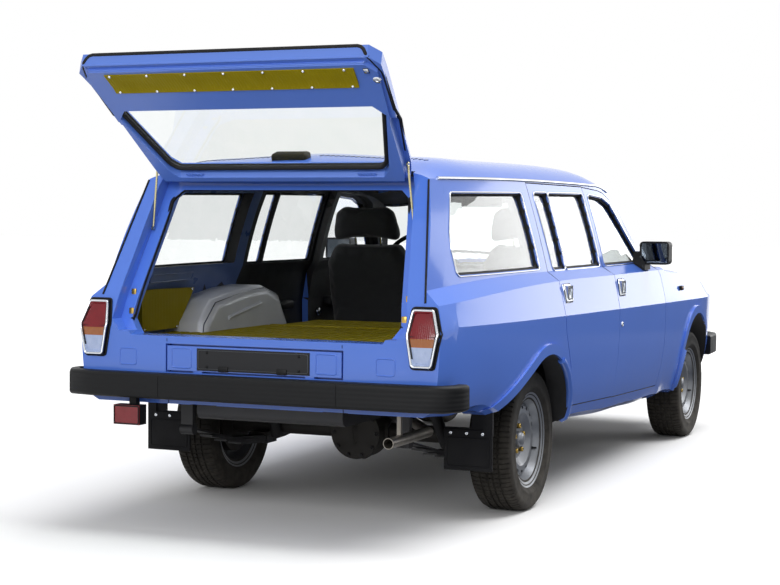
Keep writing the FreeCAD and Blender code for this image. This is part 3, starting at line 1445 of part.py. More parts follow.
def wishbone(side, height, inner, outer_end, spread, thick):
    """A wishbone: two arms that meet at the ball joint, drawn from above."""
    front_y = float(FRONT_AXLE)
    corners = [(inner, front_y - spread), (inner, front_y - spread + 38), (outer_end, front_y + 16),
        (outer_end, front_y - 16)]
    arm = Part.Face(polygon([(side * half, y, height) for half, y in corners])).extrude(V(0, 0, thick))
    other = Part.Face(polygon([(side * half, 2 * front_y - y, height) for half,
        y in corners])).extrude(V(0, 0, thick))
    return arm.fuse(other)


def coil(side):
    """A coil spring as a wire wound round a standing cylinder."""
    helix = Part.makeHelix(42, 150, 52)
    helix.translate(V(side * 480, float(FRONT_AXLE), 254))
    start = helix.Edges[0].valueAt(helix.Edges[0].FirstParameter)
    wire = [start + V(-6, 0, -6), start + V(6, 0, -6), start + V(6, 0, 6), start + V(-6, 0, 6)]
    return Part.Wire(helix.Edges).makePipeShell([Part.makePolygon(wire + wire[:1])], True, True)


suspension = fuse("front_beam_solid", *front_parts)
doc.recompute()
suspension = suspension.Shape
for side in (1, -1):
    lower_arm = wishbone(side, 226, 340, number("knuckle_offset") + 12, 150, 22)
    upper_arm = wishbone(side, 424, 400, number("knuckle_offset") + 12, 110, 18)
    seat_pan = Part.makeCylinder(62, 8, V(side * 480, float(FRONT_AXLE), 246))
    tower = Part.makeCylinder(66, 14, V(side * 480, float(FRONT_AXLE), 404))
    damper = Part.makeCylinder(20, 180, V(side * 480, float(FRONT_AXLE), 240))
    suspension = suspension.fuse(lower_arm).fuse(upper_arm).fuse(seat_pan).fuse(tower).fuse(damper)
suspension = suspension.cut(moving_line).cut(floor_shape)
springs_front = [coil(1), coil(-1)]
front_set = clean(suspension)
for wound in springs_front:
    front_set = front_set.fuse(wound)
node("front_suspension", feature("front_suspension_shape", clean(front_set)))


def knuckle(side):
    """A front upright with its stub axle, brake disc and hub, turning about its ball joints."""
    front_y, axle_z = float(FRONT_AXLE), float(TYRE)
    pivot = number("knuckle_offset")
    post = Part.makeCylinder(17, 424 - 248 - 2 * SEAT_GAP, V(side * pivot, front_y, 248 + SEAT_GAP))
    carrier = Part.makeCylinder(46, 34, V(side * (pivot - 8), front_y, axle_z), V(side, 0, 0))
    disc = Part.makeCylinder(132, 12, V(side * (pivot + 34), front_y, axle_z), V(side, 0, 0))
    face = float(front_half) + HUB_FACE
    hub = Part.makeCylinder(54, face - pivot, V(side * pivot, front_y, axle_z), V(side, 0, 0))
    cap = Part.makeCylinder(30, 26, V(side * face, front_y, axle_z), V(side, 0, 0))
    caliper = Part.makeBox(58, 70, 120, V(side * (pivot + 40) - 29, front_y + 62, axle_z - 60))
    arm = Part.makeBox(26, 150, 20, V(side * (pivot - 12) - 13, front_y, axle_z - 42))
    return post.fuse(carrier).fuse(disc).fuse(hub).fuse(cap).fuse(caliper).fuse(arm)


for side in (1, -1):
    label = "knuckle_" + ("left" if side > 0 else "right")
    node(label, feature(label + "_shape", clean(knuckle(side))))

# checks and export

doc.recompute()
os.makedirs(OUT, exist_ok=True)
for item in doc.Objects:
    if "Invalid" in item.State or "Error" in item.State:
        raise RuntimeError(f"{item.Label} did not build: {item.State}")
for label, item in NODES.items():
    if item.Shape.isNull() or not item.Shape.isValid():
        raise RuntimeError(f"{label} has no valid shape")
    item.Shape.exportStep(f"{OUT}/{label}.step")
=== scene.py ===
"""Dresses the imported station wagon: enamel, glass, bright trim, rubber, cabin and a plain studio."""

import json
import logging
import math
from dataclasses import dataclass, field
from enum import Enum
from typing import Callable, Iterable, Sequence

import bmesh
import bpy
import numpy as np
from mathutils import Matrix, Vector
from mathutils.bvhtree import BVHTree
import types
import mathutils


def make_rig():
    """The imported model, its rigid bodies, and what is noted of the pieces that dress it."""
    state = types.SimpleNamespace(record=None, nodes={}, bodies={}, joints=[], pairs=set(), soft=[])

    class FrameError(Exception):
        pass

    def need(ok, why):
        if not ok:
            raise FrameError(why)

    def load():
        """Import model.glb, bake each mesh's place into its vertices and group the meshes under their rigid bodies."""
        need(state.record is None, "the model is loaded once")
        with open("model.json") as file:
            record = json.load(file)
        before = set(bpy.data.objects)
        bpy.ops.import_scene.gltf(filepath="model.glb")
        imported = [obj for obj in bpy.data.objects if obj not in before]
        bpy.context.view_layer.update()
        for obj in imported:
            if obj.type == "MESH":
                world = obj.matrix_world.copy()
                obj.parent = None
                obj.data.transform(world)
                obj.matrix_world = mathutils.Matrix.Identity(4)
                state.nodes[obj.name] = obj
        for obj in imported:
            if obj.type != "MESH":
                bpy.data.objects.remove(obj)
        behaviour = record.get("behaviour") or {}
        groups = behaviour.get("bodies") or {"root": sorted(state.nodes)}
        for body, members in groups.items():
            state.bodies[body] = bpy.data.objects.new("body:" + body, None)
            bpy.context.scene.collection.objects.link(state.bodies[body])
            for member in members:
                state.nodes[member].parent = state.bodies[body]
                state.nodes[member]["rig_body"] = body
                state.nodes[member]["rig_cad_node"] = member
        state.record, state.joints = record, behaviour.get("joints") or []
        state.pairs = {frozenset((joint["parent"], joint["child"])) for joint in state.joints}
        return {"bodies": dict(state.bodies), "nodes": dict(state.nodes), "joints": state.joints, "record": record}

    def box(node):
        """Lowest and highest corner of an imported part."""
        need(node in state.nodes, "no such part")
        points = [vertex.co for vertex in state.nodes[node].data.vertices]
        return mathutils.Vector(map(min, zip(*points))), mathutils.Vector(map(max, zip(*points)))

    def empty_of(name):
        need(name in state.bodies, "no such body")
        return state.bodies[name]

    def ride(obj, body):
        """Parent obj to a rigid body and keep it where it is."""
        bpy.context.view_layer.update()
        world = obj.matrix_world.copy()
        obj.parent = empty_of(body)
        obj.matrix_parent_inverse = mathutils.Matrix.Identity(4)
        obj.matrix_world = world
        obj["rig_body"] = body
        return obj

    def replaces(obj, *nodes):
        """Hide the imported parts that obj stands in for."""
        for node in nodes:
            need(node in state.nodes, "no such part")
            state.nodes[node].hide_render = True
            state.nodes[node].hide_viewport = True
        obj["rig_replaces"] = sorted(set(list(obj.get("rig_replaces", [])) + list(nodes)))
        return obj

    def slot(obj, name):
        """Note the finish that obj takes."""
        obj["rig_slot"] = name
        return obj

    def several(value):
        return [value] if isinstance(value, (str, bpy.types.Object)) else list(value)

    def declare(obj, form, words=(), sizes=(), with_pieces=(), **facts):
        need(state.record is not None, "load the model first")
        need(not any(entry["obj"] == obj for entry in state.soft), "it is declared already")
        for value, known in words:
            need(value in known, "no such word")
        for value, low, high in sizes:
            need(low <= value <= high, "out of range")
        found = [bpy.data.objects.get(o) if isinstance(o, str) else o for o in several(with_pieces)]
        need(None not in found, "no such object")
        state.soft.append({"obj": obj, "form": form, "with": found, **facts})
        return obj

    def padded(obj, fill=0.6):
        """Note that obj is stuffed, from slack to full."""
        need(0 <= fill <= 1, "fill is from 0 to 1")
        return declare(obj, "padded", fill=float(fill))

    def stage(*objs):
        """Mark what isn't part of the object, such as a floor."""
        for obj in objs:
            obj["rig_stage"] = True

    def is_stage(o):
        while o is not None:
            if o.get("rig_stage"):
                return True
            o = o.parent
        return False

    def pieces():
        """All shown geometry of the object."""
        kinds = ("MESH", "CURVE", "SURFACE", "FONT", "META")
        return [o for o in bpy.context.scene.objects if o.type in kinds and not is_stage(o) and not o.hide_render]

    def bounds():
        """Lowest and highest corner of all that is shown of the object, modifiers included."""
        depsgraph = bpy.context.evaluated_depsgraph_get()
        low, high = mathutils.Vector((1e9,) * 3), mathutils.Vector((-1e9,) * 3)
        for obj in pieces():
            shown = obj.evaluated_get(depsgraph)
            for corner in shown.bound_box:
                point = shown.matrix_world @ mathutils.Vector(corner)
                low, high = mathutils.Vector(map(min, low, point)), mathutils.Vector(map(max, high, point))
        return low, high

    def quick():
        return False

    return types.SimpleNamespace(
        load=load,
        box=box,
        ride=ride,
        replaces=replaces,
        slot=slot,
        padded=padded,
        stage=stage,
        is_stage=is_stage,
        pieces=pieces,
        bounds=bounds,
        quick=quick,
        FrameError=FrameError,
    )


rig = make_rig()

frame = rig.load()
CAD_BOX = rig.bounds()
LOG = logging.getLogger("wagon")

Place = tuple[float, float, float]
Rule = Callable[[Vector, Vector], int]

# the rear axle's place along the car; every "back" below is measured rearward from it
AXLE = 1.147
SIDES = {"right": -1, "left": 1}


# materials


def linear(code: str) -> tuple[float, float, float, float]:
    """Turns an sRGB hex colour to the linear values that a shader takes.

    Args:
        code: six hex digits with a leading #.

    Returns:
        Linear red, green, blue and an alpha of 1.
    """
    parts = [int(code[i:i + 2], 16) / 255 for i in (1, 3, 5)]
    return tuple(p / 12.92 if p <= 0.04045 else ((p + 0.055) / 1.055) ** 2.4 for p in parts) + (1.0,)


def add(tree: bpy.types.NodeTree, kind: str, settings: dict | None = None,
        inputs: dict | None = None) -> bpy.types.Node:
    """Adds a node to a tree.

    Args:
        tree: the shader or geometry tree.
        kind: the node's type name.
        settings: attributes to set on the node.
        inputs: values or output sockets for its inputs, by name or index.

    Returns:
        The new node.
    """
    node = tree.nodes.new(kind)
    for name, value in (settings or {}).items():
        setattr(node, name, value)
    for name, value in (inputs or {}).items():
        if isinstance(value, bpy.types.NodeSocket):
            tree.links.new(value, node.inputs[name])
        else:
            node.inputs[name].default_value = value
    return node


class Relief(Enum):
    """How a finish's surface stands out of the flat."""

    SMOOTH = "smooth"
    GRAIN = "grain"
    PEEL = "peel"
    BRUSHED = "brushed"
    GROOVES = "grooves"
    FLUTES = "flutes"
    RIBS_ALONG = "ribs along"
    WEAVE = "weave"
    CAST = "cast"


@dataclass(frozen=True)
class Finish:
    """One real material as a procedural shader, its pattern sized in millimetres.

    The second colour mottles the first over patches of `patch` mm, and dust, where there is any,
    settles towards the ground.
    """

    name: str
    colour: str
    second: str
    roughness: float
    metallic: float = 0.0
    ior: float = 1.5
    coat: float = 0.0
    coat_roughness: float = 0.05
    relief: Relief = Relief.SMOOTH
    pitch: float = 1.0
    depth: float = 0.1
    patch: float = 90.0
    spread: float = 0.06
    transmission: float = 0.0
    sheen: float = 0.0
    dust: float = 0.0
    clear: bool = False

    def _pattern(self, tree: bpy.types.NodeTree, place: bpy.types.NodeSocket) -> bpy.types.NodeSocket | None:
        """Gives the height socket of the relief, or None on a smooth finish.

        Args:
            tree: the shader's tree.
            place: the socket of the piece's own coordinates.

        Returns:
            The height's socket, or None on a smooth finish.
        """
        per_metre = 1000.0 / self.pitch
        if self.relief is Relief.SMOOTH:
            return None
        if self.relief in (Relief.GRAIN, Relief.PEEL, Relief.CAST):
            detail = {Relief.GRAIN: 3.0, Relief.PEEL: 0.0, Relief.CAST: 6.0}[self.relief]
            noise = add(tree, "ShaderNodeTexNoise", {},
                {"Vector": place, "Scale": per_metre / 2, "Detail": detail})
            return noise.outputs["Fac"]
        if self.relief is Relief.BRUSHED:
            stretched = add(tree, "ShaderNodeMapping", {},
                {"Vector": place, "Scale": (per_metre, per_metre / 60, per_metre)})
            noise = add(tree, "ShaderNodeTexNoise", {},
                {"Vector": stretched.outputs["Vector"], "Scale": 1.0, "Detail": 2.0})
            return noise.outputs["Fac"]
        if self.relief is Relief.WEAVE:
            heights = []
            for axis in ("X", "Z"):
                wave = add(tree, "ShaderNodeTexWave", {"bands_direction": axis, "wave_profile": "SIN"},
                           {"Vector": place, "Scale": per_metre / 20 * math.pi, "Distortion": 0.4,
                               "Detail": 1.0})
                heights.append(wave.outputs["Fac"])
            mixed = add(tree, "ShaderNodeMath", {"operation": "MULTIPLY"}, {0: heights[0], 1: heights[1]})
            return mixed.outputs[0]
        axis = {Relief.GROOVES: "Z", Relief.FLUTES: "X", Relief.RIBS_ALONG: "Y"}[self.relief]
        wave = add(tree, "ShaderNodeTexWave", {"bands_direction": axis, "wave_profile": "SIN"},
                   {"Vector": place, "Scale": per_metre / 20 * math.pi, "Distortion": 0.0, "Detail": 0.0})
        return wave.outputs["Fac"]

    def build(self) -> bpy.types.Material:
        """Builds the shader.

        Returns:
            The finished material.
        """
        material = bpy.data.materials.new(self.name)
        material.use_nodes = True
        tree = material.node_tree
        tree.nodes.clear()
        place = add(tree, "ShaderNodeTexCoord").outputs["Object"]
        patches = add(tree, "ShaderNodeTexNoise", {},
            {"Vector": place, "Scale": 1000.0 / self.patch, "Detail": 3.0})
        colour = add(tree, "ShaderNodeMix", {"data_type": "RGBA"}, {"Factor": patches.outputs["Fac"]})
        colour.inputs[6].default_value = linear(self.colour)
        colour.inputs[7].default_value = linear(self.second)
        base = colour.outputs[2]
        if self.dust:
            height = add(tree, "ShaderNodeSeparateXYZ", {}, {"Vector": place})
            low = add(tree, "ShaderNodeMapRange", {},
                {"Value": height.outputs["Z"], "From Min": 0.62, "From Max": 0.22,
                                                       "To Min": 0.0, "To Max": self.dust})
            specks = add(tree, "ShaderNodeTexNoise", {}, {"Vector": place, "Scale": 28.0, "Detail": 5.0})
            amount = add(tree, "ShaderNodeMath", {"operation": "MULTIPLY"},
                         {0: low.outputs["Result"], 1: specks.outputs["Fac"]})
            dusty = add(tree, "ShaderNodeMix", {"data_type": "RGBA"}, {"Factor": amount.outputs[0]})
            tree.links.new(base, dusty.inputs[6])
            dusty.inputs[7].default_value = linear("#8d867b")
            base = dusty.outputs[2]
        wear = add(tree, "ShaderNodeMapRange", {},
            {"Value": patches.outputs["Fac"], "From Min": 0.3, "From Max": 0.7,
                                                    "To Min": max(0.0, self.roughness - self.spread),
                                                    "To Max": min(1.0, self.roughness + self.spread)})
        shader = add(tree, "ShaderNodeBsdfPrincipled", {}, {
            "Base Color": base, "Roughness": wear.outputs["Result"], "Metallic": self.metallic,
            "IOR": self.ior,
            "Coat Weight": self.coat, "Coat Roughness": self.coat_roughness,
            "Transmission Weight": self.transmission, "Sheen Weight": self.sheen,
        })
        relief = self._pattern(tree, place)
        if relief is not None:
            bump = add(tree, "ShaderNodeBump", {},
                {"Height": relief, "Distance": self.depth / 1000.0, "Strength": 1.0})
            tree.links.new(bump.outputs["Normal"], shader.inputs["Normal"])
        surface = shader.outputs["BSDF"]
        if self.clear:
            shadow = add(tree, "ShaderNodeBsdfTransparent", {}, {"Color": linear(self.second)})
            path = add(tree, "ShaderNodeLightPath")
            mixed = add(tree, "ShaderNodeMixShader", {}, {0: path.outputs["Is Shadow Ray"], 1: surface,
                                                          2: shadow.outputs["BSDF"]})
            surface = mixed.outputs["Shader"]
        add(tree, "ShaderNodeOutputMaterial", {}, {"Surface": surface})
        return material


class Coat(Enum):
    """The finishes of this car, from the real surfaces."""

    # solid blue enamel over pressed steel: a deep wet gloss with a faint orange peel
    ENAMEL = Finish("blue_stoving_enamel", "#5780e0", "#5079d8", 0.12, ior=1.4, coat=0.12,
        coat_roughness=0.03,
                    relief=Relief.PEEL, pitch=5.0, depth=0.012, patch=700.0, spread=0.02, dust=0.25)
    # the same enamel inside the body, sprayed thin and never polished
    INNER = Finish("blue_inner_enamel", "#5a80d8", "#5479d0", 0.36, coat=0.2, coat_roughness=0.2,
                   relief=Relief.PEEL, pitch=6.0, depth=0.02, patch=240.0)
    # the load bay's sides: the outer blue painted darker and greyer, painted shade of the bay's inside
    SHADED_BAY = Finish("blue_bay_enamel_painted_shade", "#52699f", "#475c8e", 0.32, coat=0.3, coat_roughness=0.15,
                 relief=Relief.PEEL, pitch=6.0, depth=0.03, patch=160.0)
    # rolled stainless and chromed brass: a mirror with hairline polishing marks
    CHROME = Finish("polished_stainless_trim", "#d3d6da", "#c6cacf", 0.09, metallic=1.0, spread=0.04,
                    relief=Relief.BRUSHED, pitch=1.2, depth=0.004)
    # moulded ABS of bumper ends and mirror shells: dull black with a fine leather grain
    PLASTIC = Finish("moulded_black_abs", "#08090b", "#0c0d0f", 0.52, ior=1.3, relief=Relief.GRAIN, pitch=1.6,
        depth=0.05)
    # the bumper beam's face: the same plastic with moulded grooves 9 mm apart
    BEAM = Finish("grooved_black_abs", "#07080a", "#0b0c0f", 0.5, ior=1.28, relief=Relief.GROOVES,
                  pitch=9.0, depth=0.4)
    # extruded EPDM seals: matt and nearly black
    SEAL = Finish("extruded_epdm_rubber", "#0d0d0f", "#141416", 0.62, ior=1.3, relief=Relief.GRAIN, pitch=2.0,
        depth=0.05)
    # float glass with a slight green in its thickness
    GLASS = Finish("tempered_float_glass", "#fbfdfd", "#f2f7f6", 0.0, ior=1.45, transmission=1.0, spread=0.0,
                   clear=True)
    # moulded acrylic lamp lenses: flutes on the inside break the light up
    RED_LENS = Finish("red_acrylic_lens", "#86101d", "#6b0b16", 0.16, coat=0.25, ior=1.35,
        relief=Relief.FLUTES, pitch=4.0,
                      depth=0.15, patch=30.0, spread=0.04)
    AMBER_LENS = Finish("amber_acrylic_lens", "#a85f1c", "#8c4c16", 0.16, coat=0.25, relief=Relief.FLUTES,
        pitch=6.5,
                        depth=0.5, patch=30.0, spread=0.04)
    CLEAR_LENS = Finish("clear_acrylic_lens", "#b6c6e8", "#94a5cc", 0.14, coat=0.35, relief=Relief.FLUTES,
        pitch=6.5,
                        depth=0.6, patch=30.0, spread=0.04)
    # moulded headlamp glass with its upright flutes over a silvered bowl
    HEADLAMP = Finish("fluted_headlamp_glass", "#d9dfe4", "#c8d0d8", 0.06, coat=0.8, metallic=0.35,
                      relief=Relief.FLUTES, pitch=11.0, depth=1.2, spread=0.02)
    # olive floor enamel and trim board, rubbed by loads
    OLIVE = Finish("olive_floor_enamel", "#9a8a04", "#7a6e04", 0.7, ior=1.25, relief=Relief.GRAIN, pitch=2.4,
        depth=0.05,
                   patch=60.0, spread=0.12)
    OLIVE_RIBBED = Finish("ribbed_olive_trim_board", "#988804", "#847604", 0.66, ior=1.25,
        relief=Relief.RIBS_ALONG,
                          pitch=6.5, depth=0.8, patch=80.0)
    OLIVE_GATE = Finish("ribbed_olive_gate_board", "#a08f04", "#8f8004", 0.66, ior=1.25, relief=Relief.FLUTES,
                        pitch=6.5, depth=0.8, patch=80.0)
    # silver hammer enamel of the pressed wheel housings
    SILVER_GREY = Finish("silver_grey_enamel", "#c6c9d0", "#b6b9c2", 0.4, metallic=0.2, relief=Relief.GRAIN,
                         pitch=3.0, depth=0.03, patch=120.0)
    # woven black seat cloth
    CLOTH = Finish("woven_black_seat_cloth", "#1b1c1f", "#222327", 0.86, sheen=0.25, relief=Relief.WEAVE,
        pitch=3.2,
                   depth=0.5, patch=40.0)
    # leathercloth of door cards, dashboard and headlining
    CARD = Finish("black_leathercloth", "#141417", "#1a1a1d", 0.6, relief=Relief.GRAIN, pitch=2.2, depth=0.14)
    # silver lacquer on the steel wheels
    WHEEL = Finish("silver_wheel_lacquer", "#8d929a", "#7c8189", 0.38, metallic=0.6, relief=Relief.PEEL,
        pitch=4.0,
                   depth=0.02, patch=60.0, dust=0.35)
    # zinc plating passivated yellow, on nuts and strikers
    BRASS = Finish("yellow_zinc_plate", "#b59a55", "#a0823f", 0.3, metallic=1.0, patch=14.0)
    # carbon-black tread rubber, dull with road dust
    TYRE = Finish("carbon_black_tyre_rubber", "#0a0b0d", "#101114", 0.78, ior=1.3, relief=Relief.GRAIN,
        pitch=1.8, depth=0.09,
                  patch=50.0, dust=0.35)
    # moulded rubber of the mud flaps
    RUBBER = Finish("moulded_soft_rubber", "#08080b", "#0d0d10", 0.7, ior=1.3, relief=Relief.GRAIN, pitch=2.2,
        depth=0.08)
    # sand-cast housings under chassis black
    CAST_IRON = Finish("sand_cast_iron", "#2b2a29", "#383532", 0.66, metallic=0.5, relief=Relief.CAST,
        pitch=4.0,
                       depth=0.35, patch=45.0)
    # brushed-on chassis paint, half matt over rough steel
    CHASSIS = Finish("chassis_black_paint", "#1b1c1e", "#28272a", 0.55, metallic=0.2, relief=Relief.CAST,
        pitch=6.0,
                     depth=0.1, patch=60.0)
    # aluminised tube, dulled by heat
    EXHAUST = Finish("aluminised_exhaust_tube", "#8f8b84", "#6f6a62", 0.42, metallic=0.9,
        relief=Relief.BRUSHED,
                     pitch=2.0, depth=0.02, patch=50.0)
    # drawn rod with a yellowish plating
    STEEL = Finish("bright_rod_steel", "#b9b28d", "#a9a27c", 0.22, metallic=1.0, patch=30.0)
    # silvered glass given a dark colour: a painted dark reflection of the ground, the same whatever is round it
    MIRROR = Finish("dark_silvered_mirror_glass", "#4b525a", "#454b53", 0.03, metallic=1.0, spread=0.0)
    # pressed plate under black enamel, and the fine grey line round it
    PLATE = Finish("embossed_black_plate", "#0c0d11", "#101217", 0.42, ior=1.35)
    PALE = Finish("grey_plate_border", "#3a3d42", "#33363b", 0.4)


_made: dict[Coat, bpy.types.Material] = {}


def coat(kind: Coat) -> bpy.types.Material:
    """The material of a finish, built the first time it is asked for.

    Args:
        kind: the finish.

    Returns:
        Its material.
    """
    if kind not in _made:
        _made[kind] = kind.value.build()
    return _made[kind]


# the record's material slot that each finish belongs to
SLOTS = {
    Coat.ENAMEL: "blue_paint", Coat.INNER: "dark_blue_paint", Coat.SHADED_BAY: "dark_blue_paint",
    Coat.CHROME: "chrome", Coat.PLASTIC: "black_plastic",
    Coat.BEAM: "black_plastic", Coat.SEAL: "soft_rubber", Coat.GLASS: "window_glass",
    Coat.RED_LENS: "lamp_glass",
    Coat.AMBER_LENS: "lamp_glass", Coat.CLEAR_LENS: "lamp_glass", Coat.HEADLAMP: "headlamp_glass",
    Coat.OLIVE: "olive_trim", Coat.OLIVE_RIBBED: "olive_trim", Coat.OLIVE_GATE: "olive_trim",
    Coat.SILVER_GREY: "grey_panel",
    Coat.CLOTH: "black_fabric", Coat.CARD: "black_fabric", Coat.WHEEL: "wheel_paint", Coat.BRASS: "chrome",
    Coat.TYRE: "tyre_rubber", Coat.RUBBER: "soft_rubber", Coat.CAST_IRON: "cast_iron",
    Coat.CHASSIS: "cast_iron",
    Coat.EXHAUST: "spring_steel", Coat.STEEL: "stay_steel", Coat.MIRROR: "chrome",
    Coat.PLATE: "black_plastic",
    Coat.PALE: "chrome",
}


# making pieces


def hang(piece: bpy.types.Object, body: str, kind: Coat, replaced: Sequence[str] = ()) -> bpy.types.Object:
    """Puts a finished piece on its body and names its slot.

    Args:
        piece: the object, in place in the row frame.
        body: the CAD body that it rides on.
        kind: the finish that gives its slot.
        replaced: the CAD nodes that it stands for.

    Returns:
        The same piece.
    """
    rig.ride(piece, body)
    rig.slot(piece, SLOTS[kind])
    if replaced:
        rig.replaces(piece, *replaced)
    LOG.info("%s rides on %s, %d faces", piece.name, body, len(piece.data.polygons))
    return piece


def stand(name: str, data: bpy.types.ID) -> bpy.types.Object:
    """Makes an object of its data and links it to the scene.

    Args:
        name: the object's name.
        data: its mesh, lamp or camera.

    Returns:
        The new object, at the origin.
    """
    piece = bpy.data.objects.new(name, data)
    bpy.context.scene.collection.objects.link(piece)
    return piece


def shade(build: bmesh.types.BMesh, smooth: float) -> None:
    """Shades a mesh smooth, apart from its sharp edges.

    Args:
        build: the mesh in the making.
        smooth: the angle in degrees from which an edge stays sharp.
    """
    limit = math.radians(smooth)
    for face in build.faces:
        face.smooth = True
    for edge in build.edges:
        edge.smooth = len(edge.link_faces) == 2 and edge.calc_face_angle(0.0) < limit


def piece_of(name: str, build: bmesh.types.BMesh, coats: Sequence[Coat],
        smooth: float = 35.0) -> bpy.types.Object:
    """Makes an object of a bmesh, which it frees.

    Args:
        name: the piece's name.
        build: the mesh in the making.
        coats: its finishes, in the order of its material slots.
        smooth: the angle in degrees under which edges are shaded smooth.

    Returns:
        The new object, linked to the scene.
    """
    shade(build, smooth)
    mesh = bpy.data.meshes.new(name)
    build.to_mesh(mesh)
    build.free()
    for kind in coats:
        mesh.materials.append(coat(kind))
    return stand(name, mesh)


def refine(piece: bpy.types.Object, bevel: float = 0.0) -> None:
    """Rounds a piece's hard edges and evens its shading with live modifiers.

    Args:
        piece: the object.
        bevel: the rounding's width in metres, or 0 for none.
    """
    if bevel:
        rounding = piece.modifiers.new("edge rounding", "BEVEL")
        rounding.width = bevel
        rounding.segments = 2
        rounding.limit_method = "ANGLE"
        rounding.angle_limit = math.radians(38)
        rounding.harden_normals = False
    even = piece.modifiers.new("even shading", "WEIGHTED_NORMAL")
    even.keep_sharp = True


def node_bmesh(node: str) -> bmesh.types.BMesh:
    """A merged copy of a CAD node's mesh.

    Args:
        node: the CAD node's name.

    Returns:
        A bmesh that shares nothing with the node.
    """
    source = frame["nodes"][node].data
    build = bmesh.new()
    places = [v.co.copy() for v in source.vertices]
    corners = [build.verts.new(p) for p in places]
    build.verts.ensure_lookup_table()
    for face in source.polygons:
        try:
            build.faces.new([corners[i] for i in face.vertices])
        except ValueError:
            continue
    bmesh.ops.remove_doubles(build, verts=build.verts, dist=2e-5)
    bmesh.ops.dissolve_degenerate(build, dist=1e-5, edges=build.edges)
    build.normal_update()
    return build


def all_one(_centre: Vector, _normal: Vector) -> int:
    """The rule for a piece with one finish."""
    return 0


def dressed_copy(node: str, body: str, coats: Sequence[Coat], rule: Rule = all_one, smooth: float = 30.0,
                 cuts: Sequence[tuple[Vector, Vector]] = (),
                 ridge: Callable[[Vector], bool] | None = None) -> bpy.types.Object:
    """Stands a smooth-shaded copy of a CAD node in its place, its faces sorted among finishes.

    Args:
        node: the CAD node that the copy replaces.
        body: the body that it rides on.
        coats: the finishes.
        rule: gives a face's finish number from its centre and normal.
        smooth: the angle under which edges are shaded smooth, in degrees.
        cuts: (point, normal) of planes that split the faces first, so that finishes meet in straight lines.
        ridge: tells a point on a pressed crease, along which the shading breaks.

    Returns:
        The copy.
    """
    build = node_bmesh(node)
    for point, normal in cuts:
        everything = build.verts[:] + build.edges[:] + build.faces[:]
        bmesh.ops.bisect_plane(build, geom=everything, dist=1e-5, plane_co=point, plane_no=normal)
    for face in build.faces:
        face.material_index = rule(face.calc_center_median(), face.normal)
    piece = piece_of(node + "_dressed", build, coats, smooth)
    if ridge is not None:
        on_crease = [ridge(vert.co) for vert in piece.data.vertices]
        for edge in piece.data.edges:
            if on_crease[edge.vertices[0]] and on_crease[edge.vertices[1]]:
                edge.use_edge_sharp = True
    refine(piece)
    return hang(piece, body, coats[0], [node])


def on_flank_crease(place: Vector) -> bool:
    """Whether a point lies on the crease that runs along the car's side."""
    return abs(place.z - 0.844 - 0.0135 * (place.y - AXLE)) < 0.0015 and abs(place.x) > 0.75


def in_reveal(skin: BVHTree, centre: Vector, normal: Vector, sign: int) -> bool:
    """Whether a face lies in the depth of a window's opening, behind the outer skin.

    Args:
        skin: the panel's surfaces.
        centre: the face's middle.
        normal: its direction.
        sign: 1 on the left, -1 on the right.

    Returns:
        True in the depth of an opening.
    """
    if centre.z <= 1.0 or abs(normal.x) >= 0.5:
        return False
    start = Vector((1.3 * sign, centre.y, centre.z)) - normal * 0.004
    hit, _, _, _ = skin.ray_cast(start, Vector((-sign, 0, 0)))
    return hit is not None and abs(hit.x) - abs(centre.x) > 0.009


def skin_finder(*nodes: str) -> BVHTree:
    """A tree for casting rays on CAD nodes.

    Args:
        nodes: the nodes' names.

    Returns:
        One tree over all their faces.
    """
    places: list[Vector] = []
    faces: list[list[int]] = []
    for node in nodes:
        mesh = frame["nodes"][node].data
        start = len(places)
        places += [v.co.copy() for v in mesh.vertices]
        faces += [[start + i for i in face.vertices] for face in mesh.polygons]
    return BVHTree.FromPolygons(places, faces)


def rounded_box(build: bmesh.types.BMesh, low: Place, high: Place, rounding: float,
        turn: Matrix | None = None,
                finish: int = 0, segments: int = 2) -> None:
    """Adds a box with rounded edges to a mesh.

    Args:
        build: the mesh in the making.
        low: the lowest corner.
        high: the highest corner.
        rounding: the edges' radius.
        turn: a matrix applied to the finished box.
        finish: its material slot.
        segments: faces across the rounding.
    """
    made = bmesh.ops.create_cube(build, size=1.0)["verts"]
    size = Vector(high) - Vector(low)
    middle = (Vector(high) + Vector(low)) / 2
    for vert in made:
        vert.co = Vector(v * s for v, s in zip(vert.co, size)) + middle
    faces = {face for vert in made for face in vert.link_faces}
    if rounding:
        edges = list({edge for vert in made for edge in vert.link_edges})
        result = bmesh.ops.bevel(build, geom=edges, offset=rounding, segments=segments, profile=0.5,
            affect="EDGES")
        faces |= set(result["faces"])
        faces = {face for face in faces if face.is_valid}
    if turn is not None:
        bmesh.ops.transform(build, matrix=turn, verts=list({vert for face in faces for vert in face.verts}))
    for face in faces:
        face.material_index = finish


